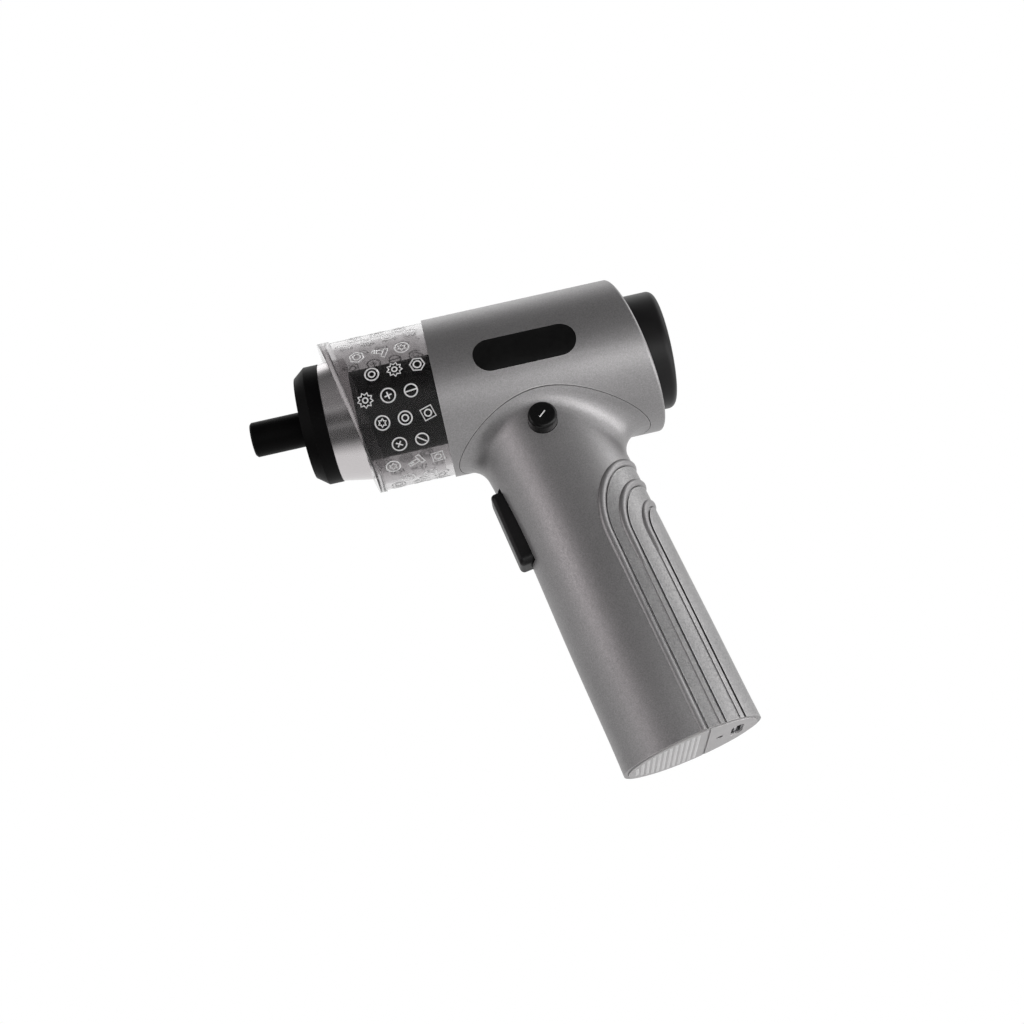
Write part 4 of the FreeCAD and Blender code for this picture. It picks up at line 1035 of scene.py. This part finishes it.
@dataclass
class Fasteners:
    """Grip screws on the right side and the gear case's screws."""

    grip_places: tuple[Pair, ...] = ((12.6 * MM, 20.0 * MM), (12.6 * MM, 49.0 * MM), (-8.5 * MM, 84.0 * MM))
    grip_seat_y: float = -4.5 * MM
    grip_shank: float = 9.0 * MM
    grip_turn: float = math.radians(17.0)
    grip_turn_step: float = math.radians(31.0)
    case_seat: float = 12.4 * MM
    case_circle: float = 16.6 * MM
    case_shank: float = 6.0 * MM
    case_count: int = 3
    case_turn_step: float = math.radians(24.0)

    def tree(self) -> NodeTree:
        """Build the tree that puts one screw on each point, turned by the point's own attribute.

        Returns:
            The tree.
        """
        graph, get = new_tree("screw_rows", {"Screw": "Object"})
        screw = graph.add("GeometryNodeObjectInfo", Object=get["Screw"], As_Instance=True)
        turn = graph.out("GeometryNodeInputNamedAttribute", {"data_type": "FLOAT_VECTOR"}, Name="turn")
        placed = graph.out("GeometryNodeInstanceOnPoints", Points=get["Geometry"], Rotation=turn,
                           Instance=screw.outputs["Geometry"])
        return close_tree(graph, placed, get["Material"])

    def row(self, name: str, spots: Sequence[tuple[Vector, Matrix]], shank: float, tree: NodeTree,
            wardrobe: Wardrobe, replaced: Sequence[str]) -> None:
        """Make one row of screws.

        Args:
            name: Piece name.
            spots: Seat and turn of each screw.
            shank: Shank length.
            tree: Tree that sets the screws.
            wardrobe: Materials.
            replaced: CAD nodes that the row stands for.
        """
        source = bpy.data.objects.new(name + "_form", ScrewForm(shank).mesh(name + "_form"))
        points = bpy.data.meshes.new(name + "_points")
        points.from_pydata([seat for seat, _ in spots], [], [])
        turns = points.attributes.new("turn", "FLOAT_VECTOR", "POINT")
        for one, (_, turn) in enumerate(spots):
            turns.data[one].vector = turn.to_euler()
        piece = grow(name, tree, {"Screw": source, "Material": wardrobe.of(Slot.STEEL)}, points)
        bpy.data.objects.remove(source)
        keep(piece, Body.HOUSING, replaced)

    def build(self, wardrobe: Wardrobe) -> None:
        """Make both rows of screws.

        Args:
            wardrobe: Materials.
        """
        tree = self.tree()
        grip, case = [], []
        for one, (x, z) in enumerate(self.grip_places):
            spin = Matrix.Rotation(self.grip_turn + self.grip_turn_step * one, 4, "Z")
            grip.append((Vector((x, self.grip_seat_y, z)), Matrix.Rotation(QUARTER_TURN, 4, "X") @ spin))
        names = ["grip_screw_%d" % (one + 1) for one in range(len(self.grip_places))]
        self.row("grip_screws", grip, self.grip_shank, tree, wardrobe, names)
        forward = AXIS.matrix().to_3x3().to_4x4() @ Matrix.Rotation(QUARTER_TURN, 4, "Y")
        for one in range(self.case_count):
            angle = math.tau * one / self.case_count + math.pi / 2
            seat = Vector((self.case_seat, self.case_circle * math.cos(angle),
                           self.case_circle * math.sin(angle)))
            case.append((AXIS.matrix() @ seat, forward @ Matrix.Rotation(self.case_turn_step * one, 4, "Z")))
        self.row("gear_case_screws", case, self.case_shank, tree, wardrobe, ["case_screws"])


@dataclass
class TriggerSpring:
    """Coil spring behind the trigger."""

    back: float = 6.8 * MM
    front: float = 11.9 * MM
    height: float = 73.6 * MM
    radius: float = 2.5 * MM
    wire: float = 0.3 * MM
    gap: float = 0.05 * MM
    turns: float = 4.0
    travel: float = 2.5 * MM
    turn_steps: int = 28
    wire_sides: int = 10

    def tree(self) -> NodeTree:
        """Build the tree that winds the wire.

        Returns:
            The tree.
        """
        sizes = ("Turns", "Radius", "Length", "Wire")
        graph, get = new_tree("spring_coil", {name: "Float" for name in sizes})
        coil = graph.out("GeometryNodeCurveSpiral", Resolution=self.turn_steps, Rotations=get["Turns"],
                         Start_Radius=get["Radius"], End_Radius=get["Radius"], Height=get["Length"])
        wire = swept(graph, coil, disc(graph, self.wire_sides, get["Wire"]))
        return close_tree(graph, graph.out("GeometryNodeSetShadeSmooth", Geometry=wire), get["Material"])

    def build(self, wardrobe: Wardrobe) -> None:
        """Make the spring and ride it on the housing.

        Args:
            wardrobe: Materials.
        """
        room = self.front - self.back
        inset = self.wire + self.gap
        settings = {"Turns": self.turns, "Radius": self.radius, "Length": room - 2 * inset,
                    "Wire": self.wire, "Material": wardrobe.of(Slot.STEEL)}
        start = Matrix.Translation((self.back + inset, 0.0, self.height))
        place = start @ Matrix.Rotation(QUARTER_TURN, 4, "Y")
        piece = grow("return_spring", self.tree(), settings, matrix=place)
        keep(piece, Body.HOUSING, ["trigger_spring"])
        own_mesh(piece)


@dataclass
class BasePad:
    """Bare pad with fine ribs on the front part of the base."""

    depth: float = 17.95 * MM
    width: float = 13.05 * MM
    rim: float = 1.5 * MM
    rear_x: float = -1.6 * MM
    pitch: float = 1.5 * MM
    rib: float = 0.9 * MM
    proud: float = 0.05 * MM
    rib_sides: int = 10

    def tree(self) -> NodeTree:
        """Build the tree that lays ribs across the pad, each as long as the oval allows.

        Returns:
            The tree.
        """
        sizes = ("Rear", "Pitch", "Depth", "Width", "Rib", "Proud")
        graph, get = new_tree("base_ribs", {"Count": "Int", **{name: "Float" for name in sizes}})
        index = graph.out("GeometryNodeInputIndex")
        x = graph.math("MULTIPLY_ADD", index, get["Pitch"], get["Rear"])
        share = graph.math("DIVIDE", x, get["Depth"])
        chord = graph.math("SQRT", graph.math("SUBTRACT", 1.0, graph.math("MULTIPLY", share, share)))
        points = graph.out("GeometryNodeSetPosition", Position=graph.combine(X=x),
                           Geometry=graph.out("GeometryNodePoints", Count=get["Count"]))
        half_rib = graph.math("DIVIDE", get["Rib"], 2.0)
        line = graph.out("GeometryNodeCurvePrimitiveLine", Start=(0.0, -1.0, 0.0), End=(0.0, 1.0, 0.0))
        flat = graph.combine(X=1.0, Y=1.0, Z=graph.math("DIVIDE", get["Proud"], half_rib))
        bar = graph.out("GeometryNodeTransform", Scale=flat,
                        Geometry=swept(graph, line, disc(graph, self.rib_sides, half_rib)))
        size = graph.combine(X=1.0, Y=graph.math("MULTIPLY", chord, get["Width"]), Z=1.0)
        placed = graph.out("GeometryNodeInstanceOnPoints", Points=points, Instance=bar, Scale=size)
        return close_tree(graph, placed, get["Material"])

    def build(self, wardrobe: Wardrobe) -> None:
        """Make the ribs and ride them on the housing.

        Args:
            wardrobe: Materials.
        """
        depth = self.depth - self.rim
        settings = {"Count": int((depth - self.rear_x) / self.pitch), "Rear": self.rear_x + self.pitch / 2,
                    "Pitch": self.pitch, "Depth": depth, "Width": self.width - self.rim, "Rib": self.rib,
                    "Proud": self.proud, "Material": wardrobe.pad_silver}
        piece = grow("base_ribs", self.tree(), settings)
        keep(piece, Body.HOUSING)


@dataclass(frozen=True)
class GripForm:
    """Oval grip that swells and leans forward toward the barrel."""

    depth_base: float = 19.15 * MM
    depth_neck: float = 18.6 * MM
    depth_top: float = 19.4 * MM
    width: float = 14.25 * MM
    width_top: float = 18.6 * MM
    shift_top: float = 3.0 * MM
    neck: float = 70.0 * MM
    top: float = AXIS.height
    power: float = 1.5

    def section(self, z: float) -> Triple:
        """Oval of the grip at a height.

        Args:
            z: Height.

        Returns:
            Half depth, half width and forward shift.
        """
        if z <= self.neck:
            return self.depth_base + (self.depth_neck - self.depth_base) * z / self.neck, self.width, 0.0
        share = ((z - self.neck) / (self.top - self.neck)) ** self.power
        return (self.depth_neck + (self.depth_top - self.depth_neck) * share,
                self.width + (self.width_top - self.width) * share, self.shift_top * share)

    def under_skin(self, x: float, z: float, inset: float) -> Vector:
        """Point a little under the grip's left skin.

        Args:
            x: Place along the tool.
            z: Height.
            inset: Distance under the skin.

        Returns:
            The point, on the side of positive Y.
        """
        depth, width, shift = self.section(z)
        along = max(-1.0, min(1.0, (x - shift) / depth))
        across = math.sqrt(1.0 - along * along)
        outward = Vector((along / depth, across / width, 0.0)).normalized()
        return Vector((shift + depth * along, width * across, z)) - outward * inset


@dataclass(frozen=True)
class Arch:
    """One arch line of the grip: straight run, spring, crown and the roll's radius on the run."""

    line_x: float
    spring_z: float
    crown_z: float
    crown_x: float
    run_swell: float


@dataclass
class ArchTrim:
    """Rounded rolls along the three arches of the grip, thinner on the straight runs below them."""

    arches: tuple[Arch, ...] = (Arch(-2.8 * MM, 57.0 * MM, 76.6 * MM, -17.3 * MM, 1.12 * MM),
                                Arch(-7.8 * MM, 56.0 * MM, 70.3 * MM, -18.0 * MM, 0.98 * MM),
                                Arch(-13.4 * MM, 55.0 * MM, 64.0 * MM, -18.6 * MM, 0.86 * MM))
    offset: float = 0.72 * MM
    inset: float = 0.70 * MM
    swell: float = 1.25 * MM
    foot: float = 0.5 * MM
    swelling: float = 14.0 * MM
    run_steps: int = 40
    arc_steps: int = 30
    back_steps: int = 10
    sides: int = 20
    form: GripForm = GripForm()

    def path(self, arch: Arch) -> list[tuple[Vector, float]]:
        """Points and roll radii along one arch, from its left foot over the back to its right foot.

        Args:
            arch: The arch line.

        Returns:
            Point and radius pairs.
        """
        foot_x, spring = arch.line_x + self.offset, arch.spring_z
        crown_x, crown = arch.crown_x, arch.crown_z + self.offset
        places = []
        for step in range(self.run_steps):
            z = self.foot + (spring - self.foot) * step / self.run_steps
            share = max(0.0, 1.0 - (spring - z) / self.swelling)
            eased = share * share * (3.0 - 2.0 * share)
            places.append((foot_x, z, arch.run_swell + (self.swell - arch.run_swell) * eased))
        for step in range(self.arc_steps + 1):
            angle = math.pi / 2 * step / self.arc_steps
            places.append((crown_x + (foot_x - crown_x) * math.cos(angle),
                           spring + (crown - spring) * math.sin(angle), self.swell))
        depth, _, shift = self.form.section(crown)
        for step in range(1, self.back_steps + 1):
            share = 1.0 - (1.0 - step / self.back_steps) ** 2
            places.append((crown_x + (shift - depth - crown_x) * share, crown, self.swell))
        half = [(self.form.under_skin(x, z, self.inset), radius) for x, z, radius in places]
        other = [(Vector((point.x, -point.y, point.z)), radius) for point, radius in reversed(half[:-1])]
        return half + other

    def tree(self) -> NodeTree:
        """Build the tree that sweeps a round section along the paths.

        Returns:
            The tree.
        """
        graph, get = new_tree("arch_rolls", {"Sides": "Int"})
        swell = graph.out("GeometryNodeInputNamedAttribute", {"data_type": "FLOAT"}, Name="swell")
        curve = graph.out("GeometryNodeMeshToCurve", Mesh=get["Geometry"])
        roll = swept(graph, curve, disc(graph, get["Sides"], 1.0), Scale=swell)
        return close_tree(graph, graph.out("GeometryNodeSetShadeSmooth", Geometry=roll), get["Material"])

    def build(self, wardrobe: Wardrobe) -> None:
        """Make the rolls and ride them on the housing.

        Args:
            wardrobe: Materials.
        """
        spots, radii, edges = [], [], []
        for arch in self.arches:
            first = len(spots)
            for point, radius in self.path(arch):
                spots.append(point)
                radii.append(radius)
            edges += [(one, one + 1) for one in range(first, len(spots) - 1)]
        mesh = bpy.data.meshes.new("arch_paths")
        mesh.from_pydata(spots, edges, [])
        mesh.attributes.new("swell", "FLOAT", "POINT").data.foreach_set("value", radii)
        settings = {"Sides": self.sides, "Material": wardrobe.of(Slot.GREY_PAINT)}
        piece = grow("arch_rolls", self.tree(), settings, mesh)
        keep(piece, Body.HOUSING)


@dataclass(frozen=True)
class DimZone:
    """Part of the room that mirrors darker than the white surroundings, by the cosine to its direction."""

    direction: Triple
    start: float
    end: float
    level: float


@dataclass(frozen=True)
class DimPatch:
    """Patch of the floor that mirrors darker, by the distance from its middle."""

    middle: Triple
    inner: float
    outer: float
    level: float


@dataclass(frozen=True)
class Softbox:
    """Area lamp that faces the tool, where a glow of 1 mirrors as white."""

    name: str
    direction: Triple
    distance: float
    size: Pair
    glow: float
    colour: Colour = (1.0, 1.0, 1.0)

    def place(self, aim: Vector) -> None:
        """Hang the lamp.

        Args:
            aim: Point that it faces.
        """
        data = bpy.data.lights.new(self.name, "AREA")
        data.shape = "RECTANGLE"
        data.size, data.size_y = self.size
        data.energy = self.glow * math.pi * self.size[0] * self.size[1]
        data.color = self.colour
        lamp = bpy.data.objects.new(self.name, data)
        lamp.visible_transmission = False
        direction = Vector(self.direction)
        lamp.location = aim + direction.normalized() * self.distance
        lamp.rotation_euler = direction.to_track_quat("Z", "Y").to_euler()
        bpy.context.scene.collection.objects.link(lamp)


@dataclass
class Studio:
    """Camera, pale floor, soft lamps and white surroundings."""

    lens: float = 50.096
    sensor: float = 36.0
    clip: Pair = (0.01, 20.0)
    place: Triple = (57.278 * MM, 359.845 * MM, -70.380 * MM)
    right: Triple = (-0.92350881, -0.05564054, -0.37952022)
    down: Triple = (0.36988237, -0.39120049, -0.84270351)
    ahead: Triple = (-0.10158002, -0.91862196, 0.38185755)
    aim: Triple = (0.0, 0.0, 85.0 * MM)
    floor_z: float = -0.13
    floor_solid: float = 0.30
    floor_end: float = 0.62
    floor_margin: float = 0.05
    floor_sides: int = 96
    floor_shades: Pair = (0.78, 0.82)
    floor_mottle: float = 30.0
    floor_roughness: float = 0.8
    floor_gloss: float = 0.1
    floor_seen: float = 0.40
    floor_through: float = 0.2
    floor_patch: DimPatch = DimPatch((0.29, 0.20, 0.0), 0.11, 0.24, 0.05)
    room_light: float = 0.45
    dim_zones: tuple[DimZone, ...] = (DimZone((0.0, 0.76, 0.65), 0.50, 0.82, 0.17),
                                      DimZone((0.90, -0.25, -0.35), 0.80, 0.95, 0.05),
                                      DimZone((0.62, 0.72, -0.33), 0.87, 0.97, 0.02),
                                      DimZone((0.55, 0.05, 0.83), 0.80, 0.96, 0.20))
    lamps: tuple[Softbox, ...] = (
        Softbox("low_key", (-0.30, 0.84, -0.46), 0.38, (0.30, 0.17), 1.9),
        Softbox("low_right", (-0.66, 0.36, -0.62), 0.32, (0.42, 0.30), 2.4),
        Softbox("left_softbox", (0.68, 0.63, 0.38), 0.75, (0.30, 0.42), 2.0, (1.0, 0.93, 0.95)),
        Softbox("right_softbox", (-0.92, 0.16, 0.40), 0.75, (0.34, 0.60), 1.6),
        Softbox("top_softbox", (0.1, -0.35, 0.93), 0.8, (0.70, 0.40), 0.7))

    def camera(self) -> None:
        """Set the camera at the photograph's angle."""
        data = bpy.data.cameras.new("camera")
        data.sensor_width = self.sensor
        data.sensor_fit = "HORIZONTAL"
        data.lens = self.lens
        data.clip_start, data.clip_end = self.clip
        camera = bpy.data.objects.new("camera", data)
        bpy.context.scene.collection.objects.link(camera)
        turn = Matrix((Vector(self.right), -Vector(self.down), -Vector(self.ahead))).transposed()
        camera.matrix_world = Matrix.Translation(self.place) @ turn.to_4x4()
        bpy.context.scene.camera = camera

    def surroundings(self) -> None:
        """White surroundings for camera, gloss and glass, with zones that mirror darker."""
        world = bpy.data.worlds.new("studio")
        bpy.context.scene.world = world
        world.use_nodes = True
        graph = Graph(world.node_tree)
        graph.tree.nodes.clear()
        rays = graph.add("ShaderNodeLightPath").outputs
        ray = graph.add("ShaderNodeTexCoord").outputs["Generated"]
        room: object = 1.0
        for zone in self.dim_zones:
            shade = graph.out("ShaderNodeMapRange", {"interpolation_type": "SMOOTHSTEP"},
                              Value=graph.vector("DOT_PRODUCT", ray, zone.direction), From_Min=zone.start,
                              From_Max=zone.end, To_Min=1.0, To_Max=zone.level)
            room = graph.math("MULTIPLY", room, shade)
        seen = graph.math("MAXIMUM", rays["Is Camera Ray"], rays["Is Transmission Ray"])
        mirrored = graph.math("MULTIPLY", rays["Is Glossy Ray"], room)
        plain = graph.math("MULTIPLY", graph.math("SUBTRACT", 1.0, rays["Is Glossy Ray"]), self.room_light)
        strength = graph.math("MAXIMUM", seen, graph.math("ADD", mirrored, plain))
        light = graph.out("ShaderNodeBackground", Color=(1.0, 1.0, 1.0, 1.0), Strength=strength)
        graph.add("ShaderNodeOutputWorld", i0=light)

    def floor_material(self) -> Material:
        """Make the floor's pale material, which fades out into the white surroundings.

        Returns:
            The new material.
        """
        sketch = ShaderSketch("floor_white")
        dark, light = ((shade, shade, shade) for shade in self.floor_shades)
        sketch.set(Base_Color=sketch.shades(sketch.noise(self.floor_mottle, detail=3.0), dark, light),
                   Roughness=self.floor_roughness, Specular_IOR_Level=self.floor_gloss)
        rays = sketch.add("ShaderNodeLightPath").outputs
        seen = sketch.mingle((rays["Is Transmission Ray"], self.floor_through),
                             (rays["Is Camera Ray"], self.floor_seen))
        patch = self.floor_patch
        glow = sketch.spread(sketch.vector("DISTANCE", sketch.place, patch.middle), patch.level, 1.0,
                             patch.inner, patch.outer)
        white, mirrored = (sketch.out("ShaderNodeEmission", Color=(1.0, 1.0, 1.0, 1.0), Strength=strength)
                           for strength in (seen, glow))
        lit = sketch.out("ShaderNodeAddShader", i0=sketch.shader.outputs[0], i1=white)
        lit = sketch.out("ShaderNodeMixShader", Fac=rays["Is Glossy Ray"], i1=lit, i2=mirrored)
        reach = sketch.vector("LENGTH", sketch.place)
        gone = sketch.spread(reach, 0.0, 1.0, self.floor_solid, self.floor_end)
        clear = sketch.out("ShaderNodeBsdfTransparent")
        mixed = sketch.out("ShaderNodeMixShader", Fac=gone, i1=lit, i2=clear)
        sketch.put(sketch.output, {"Surface": mixed})
        return sketch.material

    def floor(self) -> None:
        """Lay the pale floor that keeps the tool's shadow."""
        radius = self.floor_end + self.floor_margin
        bpy.ops.mesh.primitive_circle_add(vertices=self.floor_sides, radius=radius, fill_type="NGON",
                                          location=(0.0, 0.0, self.floor_z))
        floor = bpy.context.object
        floor.name = "studio_floor"
        floor.data.materials.append(self.floor_material())

    def build(self) -> None:
        """Set the whole studio."""
        self.camera()
        self.surroundings()
        self.floor()
        for lamp in self.lamps:
            lamp.place(Vector(self.aim))
        bpy.context.scene.view_settings.view_transform = "Standard"


def clear_start() -> None:
    """Remove the objects of the start-up file."""
    for name in ("Cube", "Light", "Camera"):
        found = bpy.data.objects.get(name)
        if found is not None:
            bpy.data.objects.remove(found)


def main() -> None:
    """Build and dress the screwdriver, then set the studio."""
    logging.basicConfig(level=logging.INFO, format="%(message)s")
    clear_start()
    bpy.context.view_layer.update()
    wardrobe = Wardrobe(frame["record"])
    wardrobe.dress_nodes(frame["nodes"])
    for part in (CupPrint(), ButtonMark(), Fasteners(), TriggerSpring(), BasePad(), ArchTrim()):
        part.build(wardrobe)
    Studio().build()


if __name__ == "__main__":
    main()
